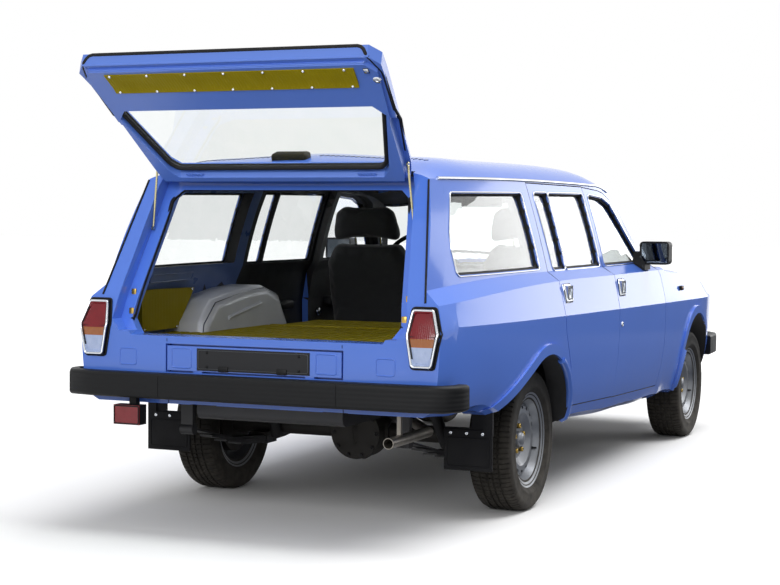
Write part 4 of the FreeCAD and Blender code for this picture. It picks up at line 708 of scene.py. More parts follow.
def disc(build: bmesh.types.BMesh, centre: Vector, axis: Vector, rings: Sequence[tuple[float, float]],
        sides: int = 24,
         finish: int = 0) -> None:
    """Adds a turned shape to a mesh.

    Args:
        build: the mesh in the making.
        centre: where the axis starts.
        axis: its direction.
        rings: (radius, distance along the axis) of each ring, from one closed end to the other.
        sides: faces round it.
        finish: its material slot.
    """
    axis = axis.normalized()
    side = axis.orthogonal().normalized()
    other = axis.cross(side)
    rows: list[list[bmesh.types.BMVert]] = []
    for radius, along in rings:
        middle = centre + axis * along
        if radius < 1e-6:
            rows.append([build.verts.new(middle)])
            continue
        rows.append([
            build.verts.new(middle + (side * math.cos(a) + other * math.sin(a)) * radius)
            for a in (2 * math.pi * i / sides for i in range(sides))
        ])
    for lower, upper in zip(rows, rows[1:]):
        for i in range(sides):
            j = (i + 1) % sides
            if len(lower) == 1:
                corners = [lower[0], upper[j], upper[i]]
            elif len(upper) == 1:
                corners = [lower[i], lower[j], upper[0]]
            else:
                corners = [lower[i], lower[j], upper[j], upper[i]]
            build.faces.new(corners).material_index = finish
    for row, turned in ((rows[0], True), (rows[-1], False)):
        if len(row) > 1:
            build.faces.new(list(reversed(row)) if turned else row).material_index = finish


# geometry node trees


class Tree:
    """The two geometry node trees that repeat or sweep this car's small pieces."""

    def __init__(self) -> None:
        """Starts with no tree built."""
        self._bead: bpy.types.NodeTree | None = None
        self._scatter: bpy.types.NodeTree | None = None

    @staticmethod
    def _group(name: str, sockets: Sequence[tuple[str, str]]) -> bpy.types.NodeTree:
        """A new tree with its named inputs and one geometry output.

        Args:
            name: the tree's name.
            sockets: the label and type of each input.

        Returns:
            The tree, without its nodes.
        """
        tree = bpy.data.node_groups.new(name, "GeometryNodeTree")
        tree.interface.new_socket("Geometry", in_out="OUTPUT", socket_type="NodeSocketGeometry")
        for label, kind in sockets:
            tree.interface.new_socket(label, in_out="INPUT", socket_type=kind)
        return tree

    @staticmethod
    def _close(tree: bpy.types.NodeTree, shape: bpy.types.NodeSocket, source: bpy.types.Node) -> None:
        """Ends a tree in Realize Instances and Set Material.

        Args:
            tree: the tree.
            shape: the socket that gives its shape.
            source: its input node.
        """
        real = add(tree, "GeometryNodeRealizeInstances", {}, {"Geometry": shape})
        painted = add(tree, "GeometryNodeSetMaterial", {}, {"Geometry": real.outputs[0],
                                                            "Material": source.outputs["Material"]})
        add(tree, "NodeGroupOutput", {}, {"Geometry": painted.outputs[0]})

    def bead(self) -> bpy.types.NodeTree:
        """The tree that sweeps an oval section along a line of vertices."""
        if self._bead is None:
            tree = self._group("bead along a line", [
                ("Line", "NodeSocketGeometry"), ("Width", "NodeSocketFloat"), ("Sides", "NodeSocketInt"),
                ("Closed", "NodeSocketBool"), ("Material", "NodeSocketMaterial"),
            ])
            source = add(tree, "NodeGroupInput")
            curve = add(tree, "GeometryNodeMeshToCurve", {}, {"Mesh": source.outputs["Line"]})
            section = add(tree, "GeometryNodeCurvePrimitiveCircle", {"mode": "RADIUS"},
                          {"Resolution": source.outputs["Sides"], "Radius": source.outputs["Width"]})
            swept = add(tree, "GeometryNodeCurveToMesh", {}, {
                "Curve": curve.outputs["Curve"], "Profile Curve": section.outputs["Curve"],
                "Fill Caps": True})
            shade = add(tree, "GeometryNodeSetShadeSmooth", {}, {"Geometry": swept.outputs["Mesh"]})
            self._close(tree, shade.outputs[0], source)
            self._bead = tree
        return self._bead

    def scatter(self) -> bpy.types.NodeTree:
        """The tree that stands one small piece at each vertex, turned as the vertex says."""
        if self._scatter is None:
            tree = self._group("small pieces at points", [
                ("Points", "NodeSocketGeometry"), ("Item", "NodeSocketObject"), ("Size", "NodeSocketFloat"),
                ("Material", "NodeSocketMaterial"),
            ])
            source = add(tree, "NodeGroupInput")
            item = add(tree, "GeometryNodeObjectInfo", {}, {"Object": source.outputs["Item"]})
            turn = add(tree, "GeometryNodeInputNamedAttribute", {"data_type": "FLOAT_VECTOR"},
                {"Name": "turn"})
            spin = add(tree, "FunctionNodeEulerToRotation", {}, {"Euler": turn.outputs[0]})
            placed = add(tree, "GeometryNodeInstanceOnPoints", {}, {
                "Points": source.outputs["Points"], "Instance": item.outputs["Geometry"],
                "Rotation": spin.outputs[0]})
            size = add(tree, "GeometryNodeScaleInstances", {}, {"Instances": placed.outputs[0]})
            grown = add(tree, "ShaderNodeCombineXYZ", {}, {axis: source.outputs["Size"] for axis in "XYZ"})
            tree.links.new(grown.outputs[0], size.inputs["Scale"])
            self._close(tree, size.outputs[0], source)
            self._scatter = tree
        return self._scatter


TREES = Tree()


def through(tree: bpy.types.NodeTree, base: bpy.types.Object, values: dict[str, object],
        name: str) -> bpy.types.Object:
    """Runs a geometry tree on an object and keeps the result as a plain mesh.

    Args:
        tree: the tree to run.
        base: the object that it starts from, removed afterwards.
        values: its inputs by name.
        name: the finished piece's name.

    Returns:
        The finished piece, without a modifier.
    """
    modifier = base.modifiers.new("geometry", "NODES")
    modifier.node_group = tree
    keys = {item.name: item.identifier for item in tree.interface.items_tree if item.in_out == "INPUT"}
    for label, value in values.items():
        modifier[keys[label]] = value
    graph = bpy.context.evaluated_depsgraph_get()
    mesh = bpy.data.meshes.new_from_object(base.evaluated_get(graph))
    mesh.name = name
    bpy.data.objects.remove(base)
    return stand(name, mesh)


def bead(name: str, points: Sequence[Vector], width: float, kind: Coat, body: str, closed: bool = True,
         sides: int = 8) -> bpy.types.Object:
    """Sweeps a round bead along a line of points.

    Args:
        name: the piece's name.
        points: the line.
        width: the bead's radius.
        kind: its finish.
        body: the body that it rides on.
        closed: whether the line returns to its start.
        sides: faces round the bead.

    Returns:
        The finished piece.
    """
    mesh = bpy.data.meshes.new(name + "_line")
    count = len(points)
    edges = [(i, i + 1) for i in range(count - 1)]
    if closed:
        edges.append((count - 1, 0))
    mesh.from_pydata([tuple(p) for p in points], edges, [])
    values = {"Width": width, "Sides": sides, "Material": coat(kind)}
    return hang(through(TREES.bead(), stand(name + "_line", mesh), values, name), body, kind)


def band(name: str, rings: Sequence[Sequence[Vector]], kind: Coat, body: str,
        smooth: float = 40.0) -> bpy.types.Object:
    """Joins closed lines of as many points each into a closed band, the last to the first.

    Args:
        name: the piece's name.
        rings: the lines that bound the band's section, in turn.
        kind: its finish.
        body: the body that it rides on.
        smooth: the angle under which its edges are shaded smooth, in degrees.

    Returns:
        The finished piece.
    """
    build = bmesh.new()
    rows = [[build.verts.new(spot) for spot in ring] for ring in rings]
    count = len(rows[0])
    for one, two in zip(rows, rows[1:] + rows[:1]):
        for i in range(count):
            build.faces.new((one[i], one[(i + 1) % count], two[(i + 1) % count], two[i]))
    bmesh.ops.recalc_face_normals(build, faces=build.faces)
    return hang(piece_of(name, build, [kind], smooth), body, kind)


def repeated(name: str, places: Sequence[Vector], turns: Sequence[Sequence[float]], item: bpy.types.Object,
             kind: Coat) -> bpy.types.Object:
    """Stands copies of a small piece at places, each turned in its own way.

    Args:
        name: the finished piece's name.
        places: where they stand.
        turns: three angles for each.
        item: the small piece at the origin, removed afterwards.
        kind: the finish.

    Returns:
        All of them as one piece.
    """
    mesh = bpy.data.meshes.new(name + "_points")
    mesh.from_pydata([tuple(place) for place in places], [], [])
    turn = mesh.attributes.new("turn", "FLOAT_VECTOR", "POINT")
    for index, angles in enumerate(turns):
        turn.data[index].vector = angles
    values = {"Item": item, "Size": 1.0, "Material": coat(kind)}
    piece = through(TREES.scatter(), stand(name + "_points", mesh), values, name)
    bpy.data.objects.remove(item)
    return piece


def scatter(name: str, spots: Sequence[tuple[Vector, Vector]], item: bpy.types.Object, kind: Coat, body: str,
            upright: Vector | None = None) -> bpy.types.Object:
    """Stands a small piece at many spots.

    Args:
        name: the finished piece's name.
        spots: (place, outward direction) of each, which the item's own Z follows.
        item: the small piece at the origin, removed afterwards.
        kind: the finish.
        body: the body that they ride on.
        upright: the direction that the item's own Y keeps to, where it matters.

    Returns:
        All of them as one piece.
    """
    turns = []
    for _, out in spots:
        out = out.normalized()
        if upright is None:
            turns.append(out.to_track_quat("Z", "Y").to_euler())
        else:
            up = (upright - out * upright.dot(out)).normalized()
            turns.append(Matrix((up.cross(out), up, out)).transposed().to_euler())
    return hang(repeated(name, [spot for spot, _ in spots], turns, item, kind), body, kind)


def small(build: bmesh.types.BMesh, name: str, smooth: float = 35.0) -> bpy.types.Object:
    """A small piece at the origin for scatter()."""
    return piece_of(name, build, [], smooth)


def screw_head(radius: float, height: float) -> bpy.types.Object:
    """A domed cross-head screw, as a piece for scatter().

    Args:
        radius: the head's radius.
        height: how far it stands out.

    Returns:
        The piece, at the origin.
    """
    build = bmesh.new()
    rings = [(radius, -0.001), (radius, height * 0.3), (radius * 0.8, height * 0.8), (radius * 0.34, height),
             (radius * 0.2, height * 0.55), (0.0, height * 0.5)]
    disc(build, Vector(), Vector((0, 0, 1)), rings, 12)
    return small(build, "screw_head")


def hexagon_nut(across: float, height: float) -> bpy.types.Object:
    """A six-sided nut with a bored, chamfered top, as a piece for scatter().

    Args:
        across: its width over the corners.
        height: how far it stands out.

    Returns:
        The piece, at the origin.
    """
    build = bmesh.new()
    rings = [(across / 2, -0.002), (across / 2, height * 0.8), (across * 0.42, height),
        (across * 0.26, height),
             (across * 0.24, height * 0.5), (0.0, height * 0.5)]
    disc(build, Vector(), Vector((0, 0, 1)), rings, 6)
    return small(build, "hexagon_nut", 20.0)


# lines and surfaces


def at(across: float, back: float, height: float) -> Vector:
    """A place from its distance across the car, rearward from the rear axle and above the ground, in metres."""
    return Vector((across, AXLE + back, height))


def rounded_line(corners: Sequence[tuple[float, float]], radius: float, grow: float = 0.0,
                 step: float = 0.03) -> list[tuple[float, float]]:
    """A closed flat outline, grown and with its corners rounded.

    Args:
        corners: the outline's corners.
        radius: the corners' radius, cut down where an edge is short.
        grow: how far the outline moves outwards.
        step: the longest distance between points on its straight runs.

    Returns:
        Points round the outline.
    """
    area = sum(a[0] * b[1] - b[0] * a[1] for a, b in zip(corners, list(corners[1:]) + [corners[0]]))
    points = [Vector(c) for c in (corners if area > 0 else list(reversed(corners)))]
    count = len(points)
    grown = []
    for i, here in enumerate(points):
        before = (here - points[i - 1]).normalized()
        after = (points[(i + 1) % count] - here).normalized()
        out_before, out_after = Vector((before.y, -before.x)), Vector((after.y, -after.x))
        share = max(0.2, 1 + out_before.dot(out_after))
        grown.append(here + (out_before + out_after) * (grow / share))
    line: list[tuple[float, float]] = []
    for i, here in enumerate(grown):
        back, ahead = grown[i - 1] - here, grown[(i + 1) % count] - here
        half = back.angle(ahead) / 2
        reach = min(radius / max(math.tan(half), 0.05), 0.45 * back.length, 0.45 * ahead.length)
        start, end = here + back.normalized() * reach, here + ahead.normalized() * reach
        bends = 5
        for k in range(bends + 1):
            t = k / bends
            spot = start * (1 - t) ** 2 + here * 2 * t * (1 - t) + end * t * t
            line.append((spot.x, spot.y))
        following = grown[(i + 1) % count]
        far = (grown[(i + 2) % count] - following)
        turn = (here - following).angle(far) / 2
        stop = following + (here - following).normalized() * min(
            radius / max(math.tan(turn), 0.05), 0.45 * (here - following).length, 0.45 * far.length)
        run = stop - end
        cuts = int(run.length / step)
        for k in range(1, cuts + 1):
            spot = end + run * (k / (cuts + 1))
            line.append((spot.x, spot.y))
    return line


def cast(tree: BVHTree, starts: Iterable[Vector], aim: Vector, lift: Vector) -> list[Vector]:
    """Lays points on a surface along one direction.

    Args:
        tree: the surfaces to lay them on.
        starts: where the rays start.
        aim: the rays' direction.
        lift: how a point moves from where its ray met a surface.

    Returns:
        The points that met a surface.
    """
    hits = (tree.ray_cast(start, aim)[0] for start in starts)
    return [hit + lift for hit in hits if hit is not None]


def slab(build: bmesh.types.BMesh, grid: Sequence[Sequence[Vector]], top: Vector, foot: Vector) -> None:
    """Builds a thin board over a grid of places: its face and its rim.

    Args:
        build: the mesh in the making.
        grid: rows of places on what carries the board.
        top: the way from there to the board's face.
        foot: the way from there to the rim's foot.
    """
    tops = [[build.verts.new(place + top) for place in line] for line in grid]
    feet = [[build.verts.new(place + foot) for place in line] for line in grid]
    rows, columns = len(grid) - 1, len(grid[0]) - 1
    for i in range(rows):
        for j in range(columns):
            build.faces.new((tops[i][j], tops[i + 1][j], tops[i + 1][j + 1], tops[i][j + 1]))
    rim = [(0, j) for j in range(columns)] + [(i, columns) for i in range(rows)]
    rim += [(rows, j) for j in range(columns, 0, -1)] + [(i, 0) for i in range(rows, 0, -1)]
    for (a, b), (c, d) in zip(rim, rim[1:] + rim[:1]):
        build.faces.new((tops[a][b], tops[c][d], feet[c][d], feet[a][b]))
    bmesh.ops.recalc_face_normals(build, faces=build.faces)


def middle_of(line: Sequence[tuple[float, float]]) -> Vector:
    """The mean of a flat line's points."""
    return Vector((sum(p[0] for p in line), sum(p[1] for p in line))) / len(line)


def on_side(tree: BVHTree, line: Iterable[tuple[float, float]], side: int, lift: float = 0.0) -> list[Vector]:
    """Lays a (back, height) line on the car's side, seen square on.

    Args:
        tree: the surfaces to lay it on.
        line: its points.
        side: 1 for the left, -1 for the right.
        lift: how far outwards from the surface it lies.

    Returns:
        The points that met a surface.
    """
    starts = [at(1.3 * side, back, height) for back, height in line]
    return cast(tree, starts, Vector((-side, 0, 0)), Vector((side * lift, 0, 0)))


def from_behind(tree: BVHTree, line: Iterable[tuple[float, float]], lift: float = 0.0,
        start: float = 1.35) -> list[Vector]:
    """Lays an (across, height) line on the car's rear, seen square on from behind.

    Args:
        tree: the surfaces to lay it on.
        line: its points.
        lift: how far rearward from the surface it lies.
        start: how far behind the rear axle the rays start.

    Returns:
        The points that met a surface.
    """
    starts = [at(across, start, height) for across, height in line]
    return cast(tree, starts, Vector((0, -1, 0)), Vector((0, lift, 0)))


@dataclass
class Gate:
    """The open tailgate's own directions: along from its hinge, across, and in through its depth."""

    hinge: Vector = field(default_factory=lambda: at(0.0, 0.788, 1.462))
    along: Vector = field(default_factory=lambda: Vector((0.0, 0.763, 0.646)))
    inward: Vector = field(default_factory=lambda: Vector((0.0, 0.646, -0.763)))

    def spot(self, across: float, along: float, depth: float) -> Vector:
        """A place in the gate's own measures."""
        return self.hinge + self.along * along + self.inward * depth + Vector((across, 0, 0))

    def lay(self, tree: BVHTree, line: Iterable[tuple[float, float]], lift: float = 0.0) -> list[Vector]:
        """Lays an (across, along) line on the gate's inner face.

        Args:
            tree: the gate's surfaces.
            line: its points.
            lift: how far it stands off the face.

        Returns:
            The points that met the gate.
        """
        starts = [self.spot(across, along, 0.25) for across, along in line]
        return cast(tree, starts, -self.inward, self.inward * lift)

    def seat(self, place: Vector) -> Matrix:
        """Turns a small fitting to lie on the gate's inner face at a place."""
        turn = Matrix((Vector((1, 0, 0)), self.along, self.inward)).transposed().to_4x4()
        return Matrix.Translation(place) @ turn


GATE = Gate()


# body


@dataclass
class BodyPanels:
    """The pressed shell: sides, roof, frame, bonnet, wings and nose, with what is fixed to them."""

    gutter_height: float = 1.440
    bay_front: float = -0.2
    cap_across: float = 0.055

    def build(self) -> None:
        """Dresses every panel and adds the rain gutter, vents and small fittings."""
        for side, sign in SIDES.items():
            # the side's faces inside the bay take the bay enamel, painted darker as shade
            dressed_copy(f"body_side_{side}", "body", [Coat.ENAMEL, Coat.SHADED_BAY, Coat.CARD, Coat.SEAL],
                         self._side_rule(side, sign), 24.0, [(at(0, self.bay_front, 0), Vector((0, 1, 0)))],
                         on_flank_crease)
        dressed_copy("roof", "body", [Coat.ENAMEL, Coat.CARD], lambda c,
            n: 1 if n.z < -0.35 and c.z > 1.3 else 0, 28.0)
        dressed_copy("rear_frame", "body", [Coat.ENAMEL, Coat.INNER],
                     lambda c, n: 1 if n.y < -0.3 or (abs(c.x) < 0.62 and n.y < 0.2 and c.z > 0.8) else 0,
                     24.0)
        dressed_copy("front_wings", "body", [Coat.ENAMEL, Coat.CHASSIS],
                     lambda c, n: 1 if abs(c.x) < 0.7 and c.z < 0.86 or n.x * c.x < -0.02 or self._in_arch(
                         c, n, -2.8) else 0, 24.0, (), on_flank_crease)
        dressed_copy("nose_panel", "body", [Coat.ENAMEL, Coat.CHASSIS], lambda c, n: 1 if n.y > 0.3 else 0,
            24.0)
        dressed_copy("bonnet", "bonnet_lid", [Coat.ENAMEL, Coat.CHASSIS], lambda c, n: 1 if n.z < -0.3 else 0,
            24.0)
        dressed_copy("floor", "body", [Coat.CHASSIS, Coat.CARD], lambda c, n: 1 if n.z > 0.6 else 0)
        self._gutters()
        self._arch_lips()
        self._vents()
        self._fittings()

    def _side_rule(self, side: str, sign: int) -> Rule:
        """Sorts a side's faces into outer enamel, bay enamel painted darker as shade, black trim by the seats and dark
        window reveals.

        Args:
            side: right or left.
            sign: 1 on the left, -1 on the right.

        Returns:
            The rule for dressed_copy.
        """
        outside = skin_finder(f"body_side_{side}")

        def rule(centre: Vector, normal: Vector) -> int:
            """The number of a face's finish.

            Args:
                centre: the face's middle.
                normal: its direction.

            Returns:
                0 enamel, 1 bay enamel painted darker as shade, 2 black trim or 3 reveal.
            """
            if self._in_arch(centre, normal, 0.0):
                return 2
            half_width = 0.857 if centre.z < 0.996 else 0.857 - min(0.4, centre.z - 0.996) * 0.42
            if abs(centre.x) < half_width - 0.05 and centre.y < AXLE + self.bay_front and centre.z > 0.45:
                return 2
            if normal.x * sign < -0.25:
                return 1 if centre.y > AXLE + self.bay_front and centre.z > 0.6 else 2
            return 3 if centre.y < AXLE + 0.8 and in_reveal(outside, centre, normal, sign) else 0

        return rule

    @staticmethod
    def _in_arch(centre: Vector, normal: Vector, back: float) -> bool:
        """Whether a face belongs to the black inside of the wheel arch that stands at this back.

        Args:
            centre: the face's middle.
            normal: its direction.
            back: how far behind the rear axle the wheel stands.

        Returns:
            True inside the arch.
        """
        spoke = Vector((0, AXLE + back - centre.y, 0.308 - centre.z))
        inward = normal.dot(spoke.normalized()) > 0.25
        return inward and spoke.length < 0.62 and abs(centre.x) < 0.868

    def _gutter_line(self, back: float) -> float:
        """Height of the rain gutter at a place along the car.

        Args:
            back: how far behind the rear axle.

        Returns:
            The height above the ground.
        """
        arch = 0.009 * ((back + 0.4) / 1.1) ** 2
        fall = 0.045 * (max(0.0, -1.3 - back) / 0.3) ** 2
        return self.gutter_height - arch - fall

    def _gutters(self) -> None:
        """Lays the bright gutter strip along the roof's edge and a dark strip down the rear pillar."""
        for side, sign in SIDES.items():
            tree = skin_finder(f"body_side_{side}", "roof", f"door_front_{side}", f"door_rear_{side}")
            backs = [-1.52 + 0.046 * i for i in range(50)]
            line = on_side(tree, [(b, self._gutter_line(b) + 0.002) for b in backs if b < 0.775], sign, 0.002)
            bead(f"gutter_strip_{side}", line, 0.0068, Coat.CHROME, "body", closed=False, sides=10)
            pillar = [(sign * (0.637 + 0.082 * (i / 21)), 1.425 - 0.475 * (i / 21)) for i in range(22)]
            strip = from_behind(skin_finder(f"body_side_{side}", "rear_frame"), pillar, 0.002, 1.4)
            bead(f"pillar_strip_{side}", strip, 0.0042, Coat.SEAL, "body", closed=False)

    def _arch_lips(self) -> None:
        """Rolls a thick round lip over the edge of each wheel arch."""
        for side, sign in SIDES.items():
            for end, node, back, radius, first, last in (
                    ("rear", f"body_side_{side}", 0.0, 0.373, 64, 186),
                    ("front", "front_wings", -2.8, 0.390, -2, 182)):
                tree = skin_finder(node)
                turns = [math.radians(angle) for angle in range(first, last + 1, 2)]
                arch = [(back + radius * math.cos(turn), 0.308 + radius * math.sin(turn)) for turn in turns]
                line = [spot for spot in on_side(tree, arch, sign, -0.005) if abs(spot.x) > 0.8]
                if end == "rear":
                    tail = [(arch[0][0] + 0.02 * i, arch[0][1] - 0.0095 * i) for i in range(12, 0, -1)]
                    line = [spot for spot in on_side(tree, tail, sign, -0.005) if abs(spot.x) > 0.78] + line
                runs: list[list[Vector]] = [[]]
                for spot in line:
                    if runs[-1] and (spot - runs[-1][-1]).length > 0.04:
                        runs.append([])
                    runs[-1].append(spot)
                bead(f"{end}_arch_lip_{side}", max(runs, key=len), 0.017, Coat.ENAMEL, "body", closed=False,
                    sides=14)

    def _vents(self) -> None:
        """Stands the two rows of slanted louvres and the ribbed cap on the roof's rear edge."""
        roof = skin_finder("roof")
        build = bmesh.new()
        rounded_box(build, (-0.0028, -0.013, -0.004), (0.0028, 0.013, 0.0016), 0.0012)
        louvre = small(build, "louvre")
        spots = []
        for i in range(21):
            across = 0.112 + 0.0235 * i
            for sign in (1, -1):
                place = at(self.cap_across + sign * across, 0.565, 1.8)
                hit, normal, _, _ = roof.ray_cast(place, Vector((0, 0, -1)))
                if hit is not None and normal.z > 0.5 and abs(place.x) < 0.57:
                    spots.append((hit, normal))
        scatter("roof_louvres", spots, louvre, Coat.SEAL, "body", Vector((0.35, 1.0, 0)))
        build = bmesh.new()
        hit, _, _, _ = roof.ray_cast(at(self.cap_across, 0.63, 1.8), Vector((0, 0, -1)))
        tilt = Matrix.Translation(hit) @ Matrix.Rotation(math.radians(-14), 4, "X")
        rounded_box(build, (-0.082, -0.030, -0.014), (0.082, 0.030, 0.026), 0.013, tilt, 0, 4)
        for i in range(13):
            across = -0.066 + 0.011 * i
            rounded_box(build, (across - 0.0018, -0.018, 0.022), (across + 0.0018, 0.018, 0.0285), 0.0012,
                tilt)
        hang(piece_of("roof_cap", build, [Coat.PLASTIC]), "body", Coat.PLASTIC)

    def _fittings(self) -> None:
        """Adds the side repeaters, the rear panel's seams and pressed squares, and the wipers."""
        wing, rear = skin_finder("front_wings"), skin_finder("rear_frame")
        for side, sign in SIDES.items():
            build = bmesh.new()
            place = Matrix.Translation(on_side(wing, [(-2.405, 0.882)], sign)[0])
            rounded_box(build, (-0.014, -0.032, -0.013), (0.014, 0.032, 0.013), 0.006, place, 0, 3)
            near, far = sign * 0.008 - 0.008, sign * 0.008 + 0.008
            rounded_box(build, (near, -0.02, -0.007), (far, 0.02, 0.007), 0.003, place, 1)
            hang(piece_of(f"side_repeater_{side}", build, [Coat.PLASTIC, Coat.AMBER_LENS]), "body",
                Coat.PLASTIC)
            seam = from_behind(rear, [(sign * 0.390, 0.505 + 0.011 * i) for i in range(26)], 0.0002)
            bead(f"panel_seam_{side}", seam, 0.0016, Coat.SEAL, "body", closed=False, sides=6)
            square = [(sign * a, z) for a,
                z in ((0.534, 0.734), (0.612, 0.734), (0.612, 0.668), (0.534, 0.668))]
            pressed = from_behind(rear, rounded_line(square, 0.014), -0.0006)
            bead(f"pressed_square_{side}", pressed, 0.0032, Coat.ENAMEL, "body", sides=6)
        self._wipers()

    @staticmethod
    def _wipers() -> None:
        """Lays two wipers on the screen's foot."""
        glass = skin_finder("fixed_windows")
        build = bmesh.new()
        for foot, tip in ((-0.42, 0.06), (0.08, 0.56)):
            points = []
            for share in (i / 8 for i in range(9)):
                start = at(foot + (tip - foot) * share, -2.08 + 0.06 * share, 1.2 + 0.03 * share)
                hit, normal, _, _ = glass.ray_cast(start, Vector((0, 0.5, -0.86)))
                if hit is not None:
                    points.append(hit + normal * 0.012)
            for one, two in zip(points, points[1:]):
                run = two - one
                turn = Matrix.Translation((one + two) / 2) @ run.to_track_quat("X", "Z").to_matrix().to_4x4()
                half = run.length / 2
                rounded_box(build, (-half, -0.005, -0.012), (half, 0.005, 0.004), 0.002, turn)
        hang(piece_of("screen_wipers", build, [Coat.PLASTIC]), "body", Coat.PLASTIC)


@dataclass
class Doors:
    """The four doors with their cards, handles, locks, glass and mirrors."""

    handles: dict[str, tuple[float, float, float]] = field(default_factory=lambda: {
        "front": (-1.165, 0.932, 0.878), "rear": (-0.300, 0.938, 0.872)})
    outlines: dict[str, tuple[tuple[float, float], ...]] = field(default_factory=lambda: {
        "front": ((-1.895, 1.036), (-1.975, 0.962), (-2.010, 0.850), (-2.012, 0.600), (-1.962, 0.372),
            (-1.079, 0.394),
                  (-1.085, 0.600), (-1.085, 0.844), (-1.076, 0.996), (-1.073, 1.036), (-1.066, 1.424),
                  (-1.340, 1.411),
                  (-1.430, 1.400), (-1.530, 1.366)),
        "rear": ((-1.079, 0.396), (-0.405, 0.419), (-0.392, 0.480), (-0.350, 0.560), (-0.290, 0.655),
            (-0.232, 0.760),
                 (-0.212, 0.850), (-0.212, 0.996), (-0.213, 1.036), (-0.218, 1.270), (-0.225, 1.431),
                 (-1.066, 1.426),
                 (-1.073, 1.036), (-1.076, 0.996), (-1.085, 0.844), (-1.085, 0.600))})

    def build(self) -> None:
        """Dresses each door and what rides on it."""
        for side, sign in SIDES.items():
            for end in ("front", "rear"):
                body = f"{end}_door_{side}"
                dressed_copy(f"door_{end}_{side}", body, [Coat.ENAMEL, Coat.CARD, Coat.CHROME, Coat.SEAL],
                             self._rule(side, sign, end), 24.0, (), on_flank_crease)
                dressed_copy(f"door_glass_{end}_{side}", body, [Coat.GLASS])
                self._handle(end, side, sign, body)
                self._shut_lines(end, side, sign)
                self._card(end, side, sign, body)
            self._lock(side, sign)
            self._mirror(side, sign)

    def _rule(self, side: str, sign: int, end: str) -> Rule:
        """Sorts a door's faces into enamel, card, bright handle plate and dark window reveals.

        Args:
            side: right or left.
            sign: 1 on the left, -1 on the right.
            end: front or rear.

        Returns:
            The rule for dressed_copy.
        """
        back, height, _ = self.handles[end]
        outside = skin_finder(f"door_{end}_{side}")

        def rule(centre: Vector, normal: Vector) -> int:
            """The number of a face's finish.

            Args:
                centre: the face's middle.
                normal: its direction.

            Returns:
                0 enamel, 1 card, 2 handle plate or 3 reveal.
            """
            near = abs(centre.y - AXLE - back) < 0.042 and abs(centre.z - height) < 0.036
            if near and abs(centre.x) > 0.86:
                return 2
            if normal.x * sign < -0.3:
                return 1
            return 3 if in_reveal(outside, centre, normal, sign) else 0

        return rule

    def _handle(self, end: str, side: str, sign: int, body: str) -> None:
        """Builds a square bright handle on its black rubber pad: frame and pull, the pad showing dark in the gaps
        round the pull as painted shade in the handle's bowl.

        Args:
            end: front or rear.
            side: right or left.
            sign: 1 on the left, -1 on the right.
            body: the door's body.
        """
        back, height, _ = self.handles[end]
        tree = skin_finder(f"door_{end}_{side}")
        low, high = on_side(tree, [(back - 0.060, height - 0.046), (back - 0.060, height + 0.046)], sign)
        up = (high - low).normalized()
        along = Vector((0, 1, 0))
        out = along.cross(up).normalized()
        out = out if out.x * sign > 0 else -out
        middle = (low + high) / 2 + along * 0.060
        turn = Matrix.Translation(middle) @ Matrix((out, along, up)).transposed().to_4x4()
        build = bmesh.new()
        # the black rubber pad; where it shows in the gaps round the pull it is painted shade in the handle's bowl
        rounded_box(build, (-0.014, -0.051, -0.044), (0.0032, 0.051, 0.044), 0.003, turn, 1, 2)
        # the frame's top, foot, front and rear
        for one, two, start, end_up in ((-0.046, 0.046, 0.027, 0.039), (-0.046, 0.046, -0.039, -0.031),
                                        (-0.046, -0.036, -0.038, 0.038), (0.032, 0.046, -0.038, 0.038)):
            rounded_box(build, (-0.010, one, start), (0.0075, two, end_up), 0.0035, turn, 0, 3)
        rounded_box(build, (-0.006, -0.031, -0.026), (0.0062, 0.029, 0.023), 0.004, turn, 0, 3)
        if Matrix((out, along, up)).determinant() < 0:
            bmesh.ops.reverse_faces(build, faces=build.faces)
        hang(piece_of(f"{end}_handle_{side}", build, [Coat.CHROME, Coat.SEAL]), body, Coat.CHROME)

    def _shut_lines(self, end: str, side: str, sign: int) -> None:
        """Lays the black weather strip in the gap round a door.

        Args:
            end: front or rear.
            side: right or left.
            sign: -1 on the right, 1 on the left.
        """
        edge = rounded_line(self.outlines[end], 0.02, 0.0028)
        middle = middle_of(edge)
        tree = skin_finder(f"door_{end}_{side}")
        laid = []
        for spot in edge:
            toward = middle - Vector(spot)
            hits = on_side(tree, [tuple(Vector(spot) + toward.normalized() * 0.010)], sign)
            if hits:
                laid.append(Vector((hits[0].x - sign * 0.0075, AXLE + spot[0], spot[1])))
        bead(f"{end}_door_shut_line_{side}", laid, 0.0032, Coat.SEAL, "body", sides=6)

    def _card(self, end: str, side: str, sign: int, body: str) -> None:
        """Adds a door's arm rest, pull and winder on its card.

        Args:
            end: front or rear.
            side: right or left.
            sign: -1 on the right, 1 on the left.
            body: the body that it rides on.
        """
        middle = -1.50 if end == "front" else -0.72
        tree = skin_finder(f"door_{end}_{side}")
        face = cast(tree, [at(0.2 * sign, middle, 0.80)], Vector((sign, 0, 0)), Vector())[0].x
        build = bmesh.new()
        for low, high, reach, soft in (((middle - 0.17, 0.79), (middle + 0.17, 0.84), 0.045, 0.014),
                                       ((middle - 0.28, 0.56), (middle + 0.28, 0.63), 0.012, 0.006)):
            ends = sorted((face - sign * reach, face + sign * 0.004))
            rounded_box(build, (ends[0], AXLE + low[0], low[1]), (ends[1], AXLE + high[0], high[1]), soft,
                None, 0, 3)
        disc(build, Vector((face, AXLE + middle + 0.24, 0.76)), Vector((-sign, 0, 0)),
             [(0.024, -0.002), (0.024, 0.008), (0.015, 0.016), (0.0, 0.017)], 20, 1)
        hang(piece_of(f"{end}_card_fittings_{side}", build, [Coat.CARD, Coat.CHROME]), body, Coat.CARD)

